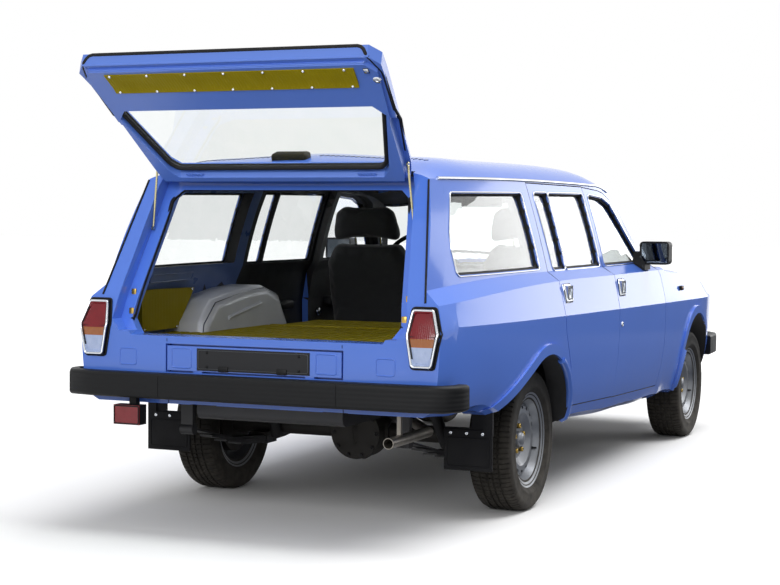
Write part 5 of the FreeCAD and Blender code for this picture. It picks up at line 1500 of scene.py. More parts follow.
    @staticmethod
    def _lock(side: str, sign: int) -> None:
        """Adds the front door's key lock.

        Args:
            side: right or left.
            sign: -1 on the right, 1 on the left.
        """
        tree = skin_finder(f"door_front_{side}")
        foot = on_side(tree, [(-1.128, 0.752)], sign, -0.002)[0]
        build = bmesh.new()
        disc(build, foot, Vector((sign, 0, 0)),
             [(0.0125, 0.0), (0.0125, 0.004), (0.010, 0.0065), (0.006, 0.0065), (0.005, 0.004), (0.0, 0.004)],
             20)
        hang(piece_of(f"door_lock_{side}", build, [Coat.CHROME]), f"front_door_{side}", Coat.CHROME)

    @staticmethod
    def _mirror(side: str, sign: int) -> None:
        """Builds a soft-cornered mirror shell on its arm, with its glass facing rearward.

        Args:
            side: right or left.
            sign: -1 on the right, 1 on the left.
        """
        build = node_bmesh(f"mirror_{side}")
        for face in build.faces:
            middle = face.calc_center_median()
            inside = face.normal.y > 0.8 and 0.841 < abs(middle.x) < 0.975 and 1.043 < middle.z < 1.141
            face.material_index = 1 if inside else 0
        shell = piece_of(f"door_mirror_{side}", build, [Coat.PLASTIC, Coat.MIRROR], 40.0)
        refine(shell, 0.003)
        hang(shell, f"front_door_{side}", Coat.PLASTIC, [f"mirror_{side}"])


@dataclass
class Windows:
    """The windows' bright surrounds and rubber, laid on the skin along each opening."""

    outlines: dict[str, tuple[str, str, tuple[tuple[float, float], ...]]] = field(default_factory=lambda: {
        "front": ("door_front", "door_glass_front", (
            (-1.118, 1.042), (-1.128, 1.386), (-1.375, 1.371), (-1.495, 1.338), (-1.822, 1.042))),
        "rear": ("door_rear", "door_glass_rear", (
            (-1.026, 1.042), (-1.032, 1.388), (-0.490, 1.386), (-0.481, 1.042))),
        "vent": ("door_rear", "door_glass_rear", (
            (-0.469, 1.042), (-0.478, 1.386), (-0.286, 1.386), (-0.297, 1.042))),
        "quarter": ("body_side", "fixed_windows", (
            (-0.108, 1.052), (-0.116, 1.381), (0.656, 1.373), (0.752, 1.215), (0.768, 1.150), (0.766, 1.062),
            (0.752, 1.048))),
    })

    def build(self) -> None:
        """Lays a bright bead and a rubber bead round every side window, and dresses the fixed glass."""
        dressed_copy("fixed_windows", "body", [Coat.GLASS])
        for side, sign in SIDES.items():
            for name, (panel, glass, corners) in self.outlines.items():
                body = "body" if name == "quarter" else ("front_door_" if name == "front" else "rear_door_") + side
                skin = skin_finder(f"{panel}_{side}")
                pane = skin_finder(glass if name == "quarter" else f"{glass}_{side}")
                bright = on_side(skin, rounded_line(corners, 0.03, 0.0055), sign, 0.0012)
                bead(f"{name}_surround_{side}", bright, 0.0032, Coat.CHROME, body, sides=8)
                edge = rounded_line(corners, 0.03, 0.001)
                middle = middle_of(edge)
                lip = []
                for i, spot in enumerate(edge):
                    run = Vector(edge[(i + 1) % len(edge)]) - Vector(edge[i - 1])
                    across = Vector((-run.y, run.x)).normalized()
                    if across.dot(middle - Vector(spot)) < 0:
                        across = -across
                    lip.append(Vector(spot) + across * 0.010)
                low = [self._on_pane(pane, spot, middle, sign) for spot in edge]
                high = [self._on_pane(pane, tuple(spot), middle, sign) for spot in lip]
                if None not in low and None not in high:
                    out = Vector((sign, 0, 0))
                    band(f"{name}_rubber_{side}",
                        [[v - out * 0.001 for v in low], [v + out * 0.008 for v in low],
                                                   [(v * 3 + w) / 4 + out * 0.009 for v, w in zip(low, high)],
                                                   [v + out * 0.003 for v in high],
                                                   [v - out * 0.001 for v in high]],
                         Coat.SEAL, body)
        self._screen()

    @staticmethod
    def _on_pane(pane: BVHTree, spot: tuple[float, float], middle: Vector, sign: int) -> Vector | None:
        """A (back, height) point at the pane's own depth, read a little inside its edge.

        Args:
            pane: the glass's surfaces.
            spot: the point.
            middle: the window's middle.
            sign: -1 on the right, 1 on the left.

        Returns:
            The place, or None where no glass is.
        """
        inside = Vector(spot) * 0.96 + middle * 0.04
        hits = on_side(pane, [tuple(inside)], sign)
        return Vector((hits[0].x, AXLE + spot[0], spot[1])) if hits else None

    @staticmethod
    def _screen() -> None:
        """Lays the windscreen's rubber along its top edge."""
        half = 0.66
        starts = []
        for i in range(41):
            across = half * (i / 20 - 1)
            starts.append(at(across * 0.86, -2.6, 1.388 - 0.03 * (across / half) ** 2))
        points = cast(skin_finder("fixed_windows"), starts, Vector((0, 1, 0)), Vector((0, -0.004, 0.002)))
        bead("screen_top_rubber", points, 0.009, Coat.SEAL, "body", closed=False)


@dataclass
class Tailgate:
    """The open tailgate: its skins, glass, seals, trim board, hinges, lock and stays."""

    trim: tuple[tuple[float, float], ...] = ((0.528, 0.534), (0.528, 0.646), (-0.545, 0.646), (-0.528, 0.534))
    glass: tuple[tuple[float, float], ...] = (
        (0.463, 0.0555), (0.497, 0.0935), (0.586, 0.4082), (0.544, 0.4575), (-0.544, 0.4575),
        (-0.586, 0.4082),
        (-0.497, 0.0935), (-0.463, 0.0555))

    def build(self) -> None:
        """Dresses the gate and everything that opens with it."""
        out = -GATE.inward
        dressed_copy("tailgate", "gate", [Coat.ENAMEL, Coat.INNER], lambda c, n: 0 if n.dot(out) > 0.3 else 1,
            28.0)
        dressed_copy("tailgate_glass", "gate", [Coat.GLASS])
        gate = skin_finder("tailgate")
        pane = skin_finder("tailgate_glass")
        for name, grow, lift, width, kind, sides in (
                ("gate_glass_seal", -0.006, 0.006, 0.0105, Coat.SEAL, 10),
                ("gate_outer_seal", -0.005, -0.012, 0.0065, Coat.SEAL, 8),
                ("gate_glass_bright", -0.003, -0.018, 0.003, Coat.CHROME, 8)):
            bead(name, GATE.lay(pane, rounded_line(self.glass, 0.045, grow), lift), width, kind, "gate",
                sides=sides)
        self._board(gate)
        self._pressings(gate)
        self._hinges(gate)
        self._lock(gate)
        for side in SIDES:
            dressed_copy(f"stay_{side}", f"gate_stay_{side}", [Coat.STEEL])

    def _board(self, gate: BVHTree) -> None:
        """Lays the ribbed olive board with its screws along the gate's free edge.

        Args:
            gate: the gate's surfaces.
        """
        rows, columns = 8, 60
        right_near, right_far, left_far, left_near = (Vector(corner) for corner in self.trim)
        grid = []
        for i in range(rows + 1):
            line = []
            for share in (j / columns for j in range(columns + 1)):
                across, along = right_near.lerp(left_near, share).lerp(right_far.lerp(left_far, share),
                    i / rows)
                hit, _, _, _ = gate.ray_cast(GATE.spot(across, along, 0.25), -GATE.inward)
                line.append(hit if hit is not None else GATE.spot(across, along, 0.06))
            grid.append(line)
        build = bmesh.new()
        slab(build, grid, GATE.inward * 0.0045, GATE.inward * 0.0002)
        hang(piece_of("gate_trim_board", build, [Coat.OLIVE_GATE]), "gate", Coat.OLIVE_GATE)
        places = [((0.5 - i / 6) * 1.01, along) for i in range(7) for along in (0.5415, 0.6385)]
        spots = [(spot, GATE.inward) for spot in GATE.lay(gate, places, 0.0045)]
        scatter("gate_board_screws", spots, screw_head(0.0062, 0.004), Coat.CHROME, "gate")

    @staticmethod
    def _pressings(gate: BVHTree) -> None:
        """Presses the long rib into the gate's inner panel and lays the seal round its edge.

        Args:
            gate: the gate's surfaces.
        """
        rib = rounded_line([(0.60, 0.665), (0.60, 0.69), (-0.60, 0.69), (-0.60, 0.665)], 0.02)
        bead("gate_pressing_edge", GATE.lay(gate, rib, -0.0008), 0.0042, Coat.INNER, "gate", sides=8)
        half = [(0.553, 0.03), (0.615, 0.36), (0.636, 0.60), (0.606, 0.708)]
        line = rounded_line(half + [(-across, along) for across, along in reversed(half)], 0.05)
        hinged = 0.12
        start = next(i for i in range(len(line)) if line[i][1] > hinged and line[i - 1][1] <= hinged)
        kept = [spot for spot in line[start:] + line[:start] if spot[1] > hinged]
        bead("gate_edge_seal", GATE.lay(gate, kept, -0.006), 0.0075, Coat.SEAL, "gate", closed=False)

    @staticmethod
    def _hinges(gate: BVHTree) -> None:
        """Adds the two ribbed hinge plates by the gate's hinged edge.

        Args:
            gate: the gate's surfaces.
        """
        build = bmesh.new()
        for place in GATE.lay(gate, [(0.39, 0.03), (-0.39, 0.03)]):
            seat = GATE.seat(place)
            rounded_box(build, (-0.04, -0.02, -0.001), (0.04, 0.016, 0.0018), 0.001, seat)
            for i in range(5):
                left = -0.032 + 0.0145 * i
                rounded_box(build, (left, -0.02, 0.001), (left + 0.006, 0.014, 0.0044), 0.0014, seat)
        hang(piece_of("gate_hinge_plates", build, [Coat.INNER]), "gate", Coat.INNER)

    @staticmethod
    def _lock(gate: BVHTree) -> None:
        """Adds the round latch and its striker plate at the right end of the board.

        Args:
            gate: the gate's surfaces.
        """
        latch, plate = GATE.lay(gate, [(-0.612, 0.570), (-0.590, 0.628)])
        build = bmesh.new()
        disc(build, latch - GATE.inward * 0.001, GATE.inward,
             [(0.016, 0.0), (0.016, 0.003), (0.013, 0.0048), (0.008, 0.0048), (0.007, 0.003), (0.0, 0.003)],
             28)
        rounded_box(build, (-0.011, -0.013, -0.001), (0.011, 0.013, 0.0045), 0.002, GATE.seat(plate), 1)
        hang(piece_of("gate_latches", build, [Coat.CHROME, Coat.PLASTIC]), "gate", Coat.CHROME)


# rear and front fittings


@dataclass
class RearEnd:
    """Tail lamps, bumpers, plate, fog lamp and the load opening's seal."""

    lamp: tuple[tuple[float, float], ...] = (
        (0.675, 0.929), (0.767, 0.929), (0.797, 0.833), (0.771, 0.704), (0.683, 0.704), (0.662, 0.831))
    opening: tuple[tuple[float, float], ...] = (
        (0.500, 1.384), (0.538, 1.350), (0.604, 0.850), (0.560, 0.790), (-0.560, 0.790), (-0.604, 0.850),
        (-0.538, 1.350), (-0.500, 1.384))
    plate_half: float = 0.252
    plate_low: float = 0.655
    plate_high: float = 0.745

    def build(self) -> None:
        """Dresses the rear lamps, bumpers, hatch and seal."""
        dressed_copy("rear_lamps", "body", [Coat.PLASTIC], smooth=20.0)
        for side, sign in SIDES.items():
            self._lens(side, sign)
        for end, seams in (("rear", 0.394), ("front", 0.62)):
            self._bumper(end, seams)
        dressed_copy("fog_lamp", "body", [Coat.RED_LENS, Coat.PLASTIC],
                     lambda c, n: 0 if n.y > 0.5 and c.z < 0.51 else 1)
        fog = [(0.486, 0.432), (0.600, 0.432), (0.600, 0.504), (0.486, 0.504)]
        bead("fog_lamp_rim", from_behind(skin_finder("fog_lamp"), rounded_line(fog, 0.008), 0.001), 0.0028,
             Coat.PLASTIC, "body", sides=6)
        self._hatch()
        frame_tree = skin_finder("rear_frame")
        line = self._eased(from_behind(frame_tree, rounded_line(self.opening, 0.05, 0.004, 0.02), -0.013))
        start = next(i for i in range(len(line)) if line[i].z > 0.845 and line[i - 1].z <= 0.845)
        line = line[start:] + line[:start]
        bead("opening_seal", [spot for spot in line if spot.z > 0.845], 0.0085, Coat.SEAL, "body",
            closed=False, sides=10)
        self._strikers(frame_tree)

    @staticmethod
    def _eased(line: list[Vector], reach: int = 6) -> list[Vector]:
        """Evens how far back a closed line lies, over reach points each way.

        Args:
            line: the line's points.
            reach: how many points on each side count.

        Returns:
            As many points.
        """
        count = len(line)
        eased = []
        for i, spot in enumerate(line):
            near = [line[(i + k) % count].y for k in range(-reach, reach + 1)]
            eased.append(Vector((spot.x, sum(near) / len(near), spot.z)))
        return eased

    def _lens(self, side: str, sign: int) -> None:
        """Builds one lamp's banded lens with its bright bezel and black gasket.

        Args:
            side: right or left.
            sign: -1 on the right, 1 on the left.
        """
        tree = skin_finder("rear_lamps")
        build = bmesh.new()
        inner = rounded_line([(sign * a, z) for a, z in self.lamp], 0.008, -0.008)
        low, high = min(p[1] for p in inner), max(p[1] for p in inner)
        rows, columns = 44, 14
        grid = []
        for i in range(rows + 1):
            height = low + 0.0006 + (high - low - 0.0012) * i / rows
            cuts = []
            for one, two in zip(inner, inner[1:] + inner[:1]):
                if (one[1] - height) * (two[1] - height) <= 0 and one[1] != two[1]:
                    cuts.append(one[0] + (two[0] - one[0]) * (height - one[1]) / (two[1] - one[1]))
            left, right = min(cuts), max(cuts)
            line = []
            for j in range(columns + 1):
                across = left + (right - left) * j / columns
                hit, _, _, _ = tree.ray_cast(at(across, 1.4, height), Vector((0, -1, 0)))
                base = hit if hit is not None else at(across, 1.07, height)
                crown = 0.004 * (1 - (2 * j / columns - 1) ** 4) * (1 - (2 * i / rows - 1) ** 6)
                line.append(build.verts.new(base + Vector((0, 0.0015 + crown, 0))))
            grid.append(line)
        for i in range(rows):
            share = (i + 0.5) / rows
            finish = 2 if share < 0.34 else (1 if share < 0.5 else 0)
            for j in range(columns):
                face = build.faces.new((grid[i][j], grid[i][j + 1], grid[i + 1][j + 1], grid[i + 1][j]))
                face.material_index = finish
        bmesh.ops.recalc_face_normals(build, faces=build.faces)
        if sum(face.normal.y for face in build.faces) < 0:
            bmesh.ops.reverse_faces(build, faces=build.faces)
        hang(piece_of(f"lamp_lens_{side}", build, [Coat.RED_LENS, Coat.AMBER_LENS, Coat.CLEAR_LENS]), "body",
             Coat.RED_LENS)
        outline = [(sign * a, z) for a, z in self.lamp]
        rim = from_behind(tree, rounded_line(outline, 0.012, -0.0055, 0.015), 0.003)
        bead(f"lamp_bezel_{side}", rim, 0.0048, Coat.CHROME, "body", sides=10)
        body = skin_finder("rear_frame", f"body_side_{side}")
        gasket = self._eased(from_behind(body, rounded_line(outline, 0.014, 0.0035, 0.015), 0.002), 3)
        bead(f"lamp_gasket_{side}", gasket, 0.0042, Coat.SEAL, "body", sides=8)
        bar = from_behind(tree, [(sign * (0.678 + 0.0105 * i), 0.824) for i in range(11)], 0.004)
        bead(f"lamp_divider_{side}", bar, 0.0014, Coat.SEAL, "body", closed=False, sides=6)

    @staticmethod
    def _bumper(end: str, seam: float) -> None:
        """Dresses a bumper and cuts its two seams.

        Args:
            end: front or rear.
            seam: how far from the middle the seams lie.
        """
        node = f"{end}_bumper"
        low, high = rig.box(node)
        dressed_copy(node, "body", [Coat.BEAM, Coat.PLASTIC], lambda c, n: 0 if abs(n.z) < 0.35 else 1, 62.0)
        tree = skin_finder(node)
        face = 1 if end == "rear" else -1
        heights = [low.z + 0.008 + (high.z - low.z - 0.016) * i / 11 for i in range(12)]
        for side, sign in SIDES.items():
            starts = [Vector((sign * seam, face * 4.0, height)) for height in heights]
            line = cast(tree, starts, Vector((0, -face, 0)), Vector((0, face * 0.0004, 0)))
            line = [spot for spot in line if abs(spot.y) > 1.5]
            bead(f"{end}_bumper_seam_{side}", line, 0.0022, Coat.SEAL, "body", closed=False, sides=6)

    def _hatch(self) -> None:
        """Dresses the spare wheel's hatch and its blank plate with a pale border, screws and feet."""
        half, low, high = self.plate_half, self.plate_low, self.plate_high

        def rule(centre: Vector, normal: Vector) -> int:
            """1 for a face on the plate, 0 for the enamel round it."""
            return 1 if abs(centre.x) < half and low < centre.z < high and normal.y > 0.3 else 0

        cuts = [(Vector((sign * half, 0, 0)), Vector((1, 0, 0))) for sign in (1, -1)]
        cuts += [(Vector((0, 0, height)), Vector((0, 0, 1))) for height in (low, high)]
        dressed_copy("spare_hatch", "plate_hatch", [Coat.ENAMEL, Coat.PLATE], rule, 24.0, cuts)
        tree = skin_finder("spare_hatch")
        build = bmesh.new()
        rows = []
        for i in range(9):
            height = low + 0.001 + (high - low - 0.002) * i / 8
            places = [(-half + 0.0015 + (2 * half - 0.003) * j / 24, height) for j in range(25)]
            rows.append([build.verts.new(p) for p in from_behind(tree, places, 0.0022)])
        for one, two in zip(rows, rows[1:]):
            for j in range(min(len(one), len(two)) - 1):
                build.faces.new((one[j], one[j + 1], two[j + 1], two[j]))
        if sum(face.normal.y for face in build.faces) < 0:
            bmesh.ops.reverse_faces(build, faces=build.faces)
        hang(piece_of("plate_face", build, [Coat.PLATE]), "plate_hatch", Coat.PLATE)
        edge, foot, top = half - 0.008, low + 0.008, high - 0.008
        corners = [(-edge, foot), (edge, foot), (edge, top), (-edge, top)]
        bead("plate_border", from_behind(tree, rounded_line(corners, 0.008), 0.0026), 0.0017, Coat.PALE,
             "plate_hatch", sides=6)
        places = [(a, z) for a in (-0.205, 0.205) for z in (low + 0.016, high - 0.016)]
        spots = [(spot, Vector((0, 1, 0.03))) for spot in from_behind(tree, places, 0.002)]
        scatter("plate_screws", spots, screw_head(0.006, 0.0035), Coat.PLASTIC, "plate_hatch")
        for side, sign in SIDES.items():
            pressed = [(sign * 0.278, 0.742), (sign * 0.366, 0.742), (sign * 0.366, 0.664),
                (sign * 0.278, 0.664)]
            bead(f"hatch_pressing_{side}", from_behind(tree, rounded_line(pressed, 0.012), -0.0006), 0.0032,
                 Coat.ENAMEL, "plate_hatch", sides=6)
        build = bmesh.new()
        for x, y, _ in from_behind(tree, [(across, low + 0.006) for across in (-0.13, 0.13)]):
            rounded_box(build, (x - 0.022, y - 0.002, low - 0.001), (x + 0.022, y + 0.007, low + 0.02), 0.002)
        hang(piece_of("plate_feet", build, [Coat.PLASTIC]), "plate_hatch", Coat.PLASTIC)

    @staticmethod
    def _strikers(tree: BVHTree) -> None:
        """Sets the brassy striker plates into the opening's jambs.

        Args:
            tree: the rear frame's surfaces.
        """
        build = bmesh.new()
        places = ((0.618, 0.950), (0.612, 0.872), (-0.618, 0.950), (-0.612, 0.872))
        for x, y, z in from_behind(tree, places, 0.0, 1.4):
            rounded_box(build, (x - 0.011, y - 0.006, z - 0.022), (x + 0.011, y + 0.001, z + 0.022), 0.003)
        hang(piece_of("gate_strikers", build, [Coat.BRASS]), "body", Coat.BRASS)


@dataclass
class FrontEnd:
    """Headlamps, grille and indicator lenses of the nose."""

    lamp: tuple[tuple[float, float], ...] = ((0.455, 0.632), (0.738, 0.632), (0.738, 0.808), (0.455, 0.808))

    def build(self) -> None:
        """Dresses the nose's fittings."""
        dressed_copy("grille", "body", [Coat.CHROME, Coat.PLASTIC], lambda c, n: 0 if n.y < -0.5 else 1, 20.0)
        dressed_copy("headlamps", "body", [Coat.HEADLAMP, Coat.CHASSIS], lambda c, n: 0 if n.y < -0.2 else 1,
            20.0)
        tree = skin_finder("headlamps", "nose_panel", "grille")
        for side, sign in SIDES.items():
            corners = [(sign * a, z) for a, z in self.lamp]
            bead(f"headlamp_rim_{side}", self._ahead(tree, rounded_line(corners, 0.02, -0.004), 0.002),
                0.0068,
                 Coat.CHROME, "body", sides=10)
            split = [(sign * 0.672, 0.638 + 0.0165 * i) for i in range(11)]
            bead(f"indicator_split_{side}", self._ahead(tree, split, 0.001), 0.003, Coat.CHROME, "body",
                closed=False)
        frame_line = [(0.444, 0.623), (0.444, 0.815), (-0.444, 0.815), (-0.444, 0.623)]
        bead("grille_surround", self._ahead(tree, rounded_line(frame_line, 0.012, 0.003), 0.002), 0.006,
            Coat.CHROME,
             "body", sides=10)

    @staticmethod
    def _ahead(tree: BVHTree, line: Iterable[tuple[float, float]], lift: float) -> list[Vector]:
        """Lays an (across, height) line on the nose, seen from ahead."""
        starts = [at(across, -4.2, height) for across, height in line]
        return cast(tree, starts, Vector((0, 1, 0)), Vector((0, -lift, 0)))


# cargo bay and cabin


@dataclass
class CargoBay:
    """Load floor, wheel housings, side boards and the folded bench."""

    floor_height: float = 0.760
    board: tuple[tuple[float, float], ...] = ((0.455, 0.776), (0.752, 0.776), (0.760, 0.955), (0.305, 0.950))

    def build(self) -> None:
        """Dresses the cargo bay."""
        dressed_copy("load_floor", "body", [Coat.OLIVE, Coat.CHASSIS], lambda c, n: 1 if n.z < -0.5 else 0)
        dressed_copy("folded_bench", "body", [Coat.OLIVE, Coat.CARD], lambda c,
            n: 0 if n.z > 0.3 or c.z > 0.74 else 1)
        for side, sign in SIDES.items():
            self._board(side, sign)
            self._rib(side, sign)
        dressed_copy("wheel_housings", "body", [Coat.SILVER_GREY, Coat.CHASSIS], self._housing_rule, 40.0)
        floor = skin_finder("load_floor")
        spots = []
        for back in (-0.11, 0.28, 0.62, 0.93):
            for i in range(27):
                hit, normal, _, _ = floor.ray_cast(at(-0.52 + 0.04 * i, back, 1.2), Vector((0, 0, -1)))
                if hit is not None and hit.z > self.floor_height - 0.004:
                    spots.append((hit, Vector((0, 0, 1))))
        scatter("floor_rivets", spots, screw_head(0.0055, 0.003), Coat.OLIVE, "body")
        build = bmesh.new()
        for back in (-0.145, 0.945):
            rounded_box(build, at(-0.545, back - 0.014, self.floor_height),
                        at(0.545, back + 0.014, self.floor_height + 0.0035), 0.0015)
        hang(piece_of("floor_strips", build, [Coat.OLIVE]), "body", Coat.OLIVE)

    @staticmethod
    def _housing_rule(centre: Vector, normal: Vector) -> int:
        """The housing's wheel side is under chassis paint, its cargo side is silver.

        Args:
            centre: the face's middle.
            normal: its direction.

        Returns:
            The number of its finish.
        """
        hub = Vector((0, AXLE - centre.y, 0.308 - centre.z)).normalized()
        outwards = 1 if centre.x > 0 else -1
        return 1 if normal.dot(hub) > 0.3 or normal.x * outwards > 0.5 else 0

    def _board(self, side: str, sign: int) -> None:
        """Fixes the ribbed olive board to the side behind the wheel housing.

        Args:
            side: right or left.
            sign: 1 on the left, -1 on the right.
        """
        tree = skin_finder(f"body_side_{side}")
        rows, columns = 8, 14
        low_front, low_back, high_back, high_front = (Vector(corner) for corner in self.board)
        grid = []
        for i in range(rows + 1):
            line = []
            for share in (j / columns for j in range(columns + 1)):
                back, height = low_front.lerp(low_back, share).lerp(high_front.lerp(high_back, share),
                    i / rows)
                hit, _, _, _ = tree.ray_cast(at(0.3 * sign, back, height), Vector((sign, 0, 0)))
                across = min(abs(hit.x), 0.80) if hit is not None else 0.76
                line.append(at(sign * (across - 0.004), back, height))
            grid.append(line)
        flat = sign * min(abs(place.x) for line in grid for place in line)
        grid = [[Vector((flat, place.y, place.z)) for place in line] for line in grid]
        build = bmesh.new()
        slab(build, grid, Vector((-sign * 0.004, 0, 0)), Vector((sign * 0.03, 0, 0)))
        hang(piece_of(f"side_board_{side}", build, [Coat.OLIVE_RIBBED]), "body", Coat.OLIVE_RIBBED)
        corners = [spot - Vector((sign * 0.005, 0, 0)) for spot in (grid[0][0], grid[0][-1], grid[-1][-1],
            grid[-1][0])]
        middle = sum(corners, Vector()) / 4
        spots = [(corner.lerp(middle, 0.08), Vector((-sign, 0, 0))) for corner in corners]
        scatter(f"side_board_screws_{side}", spots, screw_head(0.006, 0.004), Coat.CHROME, "body")

    @staticmethod
    def _rib(side: str, sign: int) -> None:
        """Presses the slanting bead into the housing's inner face and the long bead below the quarter window.

        Args:
            side: right or left.
            sign: 1 on the left, -1 on the right.
        """
        out = Vector((sign, 0, 0))
        starts = [at(0.2 * sign, 0.226 - 0.0175 * i, 0.812 + 0.003 * i) for i in range(19)]
        laid = cast(skin_finder("wheel_housings"), starts, out, out * -0.001)
        laid = [spot for spot in laid if abs(spot.x) < 0.619]
        bead(f"housing_bead_{side}", laid, 0.0085, Coat.SILVER_GREY, "body", closed=False, sides=12)
        panel = [(0.70, 0.985), (0.70, 1.018), (0.28, 1.018), (0.28, 0.985)]
        starts = [at(0.3 * sign, back, height) for back, height in rounded_line(panel, 0.014)]
        pressed = cast(skin_finder(f"body_side_{side}"), starts, out, Vector())
        # the bead takes the bay enamel, painted darker as shade
        bead(f"bay_pressing_{side}", pressed, 0.004, Coat.SHADED_BAY, "body")


@dataclass
class Pad:
    """A seat pad before it swells: its outline, its thickness and its lean, from the seat's middle line."""

    name: str
    outline: tuple[tuple[float, float], ...]
    thick: tuple[float, float]
    lean: float
    cap: float
    flat: bool = False


@dataclass
class Cabin:
    """Front seats of simulated cloth, their runners, the dashboard, steering wheel and mirror."""

    seat_across: float = 0.430
    pivot: tuple[float, float] = (-1.135, 0.640)
    pads: tuple[Pad, ...] = (
        Pad("cushion", ((-0.234, -1.624), (0.234, -1.624), (0.240, -1.40), (0.232, -1.166), (-0.232, -1.166),
                        (-0.240, -1.40)), (0.574, 0.672), 0.0, 0.020, True),
        Pad("back", ((-0.240, 0.664), (0.240, 0.664), (0.252, 0.93), (0.243, 1.070), (0.190, 1.158),
                     (-0.190, 1.158), (-0.243, 1.070), (-0.252, 0.93)), (-1.178, -1.094), -14.0, 0.020),
        Pad("restraint", ((-0.186, 1.172), (0.186, 1.172), (0.184, 1.225), (0.160, 1.318), (0.118, 1.346),
                          (-0.118, 1.346), (-0.160, 1.318), (-0.184, 1.225)), (-1.170, -1.106), -14.0, 0.012),
    )

    def build(self) -> None:
        """Makes the seats and dresses the rest of the cabin."""
        for pad in self.pads:
            self._padded(pad)
        self._runners()
        dressed_copy("instrument_panel", "body", [Coat.CARD])
        dressed_copy("steering_wheel", "steering", [Coat.PLASTIC], smooth=62.0)
        self._mirror()

    @staticmethod
    def _foam(pad: Pad) -> bmesh.types.BMesh:
        """A pad's block of foam with its outline and its edges rounded.

        Args:
            pad: the pad.

        Returns:
            The mesh in the making.
        """
        build = bmesh.new()
        line = rounded_line(pad.outline, 0.04, 0.0, 0.03)
        rows = []
        for depth in pad.thick:
            places = [(a, b, depth) if pad.flat else (a, depth, b) for a, b in line]
            rows.append([build.verts.new(Vector(p) + Vector((0, AXLE, 0))) for p in places])
        count = len(line)
        for i in range(count):
            build.faces.new((rows[0][i], rows[0][(i + 1) % count], rows[1][(i + 1) % count], rows[1][i]))
        caps = [build.faces.new(rows[0]), build.faces.new(rows[1])]
        bmesh.ops.recalc_face_normals(build, faces=build.faces)
        edges = list({edge for cap in caps for edge in cap.edges})
        bmesh.ops.bevel(build, geom=edges, offset=0.02, segments=3, profile=0.5, affect="EDGES")
        return build

    def _padded(self, pad: Pad) -> None:
        """Swells one pad as cloth over foam, and stands a copy of it at each front seat.

        Args:
            pad: the pad.
        """
        shape = piece_of(pad.name, self._foam(pad), [Coat.CLOTH], 80.0)
        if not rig.quick():
            self._swell(shape, pad.cap)
            self._sew(shape, pad)
        shape.data.transform(self._leaned(pad.lean))
        twin = shape.copy()
        twin.data = shape.data.copy()
        bpy.context.scene.collection.objects.link(twin)
        for side, piece in (("left", shape), ("right", twin)):
            piece.name = f"seat_{pad.name}_{side}"
            piece.data.transform(Matrix.Translation((SIDES[side] * self.seat_across, 0, 0)))
            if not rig.quick():
                smoother = piece.modifiers.new("soft surface", "SUBSURF")
                smoother.levels = smoother.render_levels = 1
            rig.padded(hang(piece, "body", Coat.CLOTH, ["front_seats"]), fill=0.75)

    def _leaned(self, degrees: float) -> Matrix:
        """Leans what it is applied to about the seat back's pivot."""
        pivot = at(0, *self.pivot)
        return Matrix.Translation(pivot) @ Matrix.Rotation(math.radians(degrees), 4,
            "X") @ Matrix.Translation(-pivot)

    @staticmethod
    def _swell(shape: bpy.types.Object, cap: float) -> None:
        """Runs the cloth simulation on a remeshed copy and keeps the result.

        Args:
            shape: the pad, whose mesh is replaced.
            cap: how far any point may move, in metres.
        """
        remesh = shape.modifiers.new("even cells", "REMESH")
        remesh.mode, remesh.voxel_size = "VOXEL", 0.011
        graph = bpy.context.evaluated_depsgraph_get()
        even = bpy.data.meshes.new_from_object(shape.evaluated_get(graph))
        shape.modifiers.remove(remesh)
        shape.data = even
        start = np.empty(len(even.vertices) * 3)
        even.vertices.foreach_get("co", start)
        cloth = shape.modifiers.new("foam under cloth", "CLOTH")
        settings = cloth.settings
        settings.use_pressure = True
        settings.uniform_pressure_force = 4.0
        settings.quality = 5
        settings.tension_stiffness = settings.compression_stiffness = 12.0
        settings.effector_weights.gravity = 0.0
        cloth.point_cache.frame_start, cloth.point_cache.frame_end = 1, 16
        scene = bpy.context.scene
        for step in range(1, 17):
            scene.frame_set(step)
        graph = bpy.context.evaluated_depsgraph_get()
        swollen = bpy.data.meshes.new_from_object(shape.evaluated_get(graph))
        end = np.empty(len(swollen.vertices) * 3)
        swollen.vertices.foreach_get("co", end)
        shape.modifiers.remove(cloth)
        scene.frame_set(1)
        moved = (end - start).reshape(-1, 3)
        far = np.linalg.norm(moved, axis=1, keepdims=True)
        moved *= np.minimum(1.0, cap / np.maximum(far, 1e-9))
        swollen.vertices.foreach_set("co", (start.reshape(-1, 3) + moved).ravel())
        for polygon in swollen.polygons:
            polygon.use_smooth = True
        swollen.materials.clear()
        swollen.materials.append(coat(Coat.CLOTH))
        shape.data = swollen

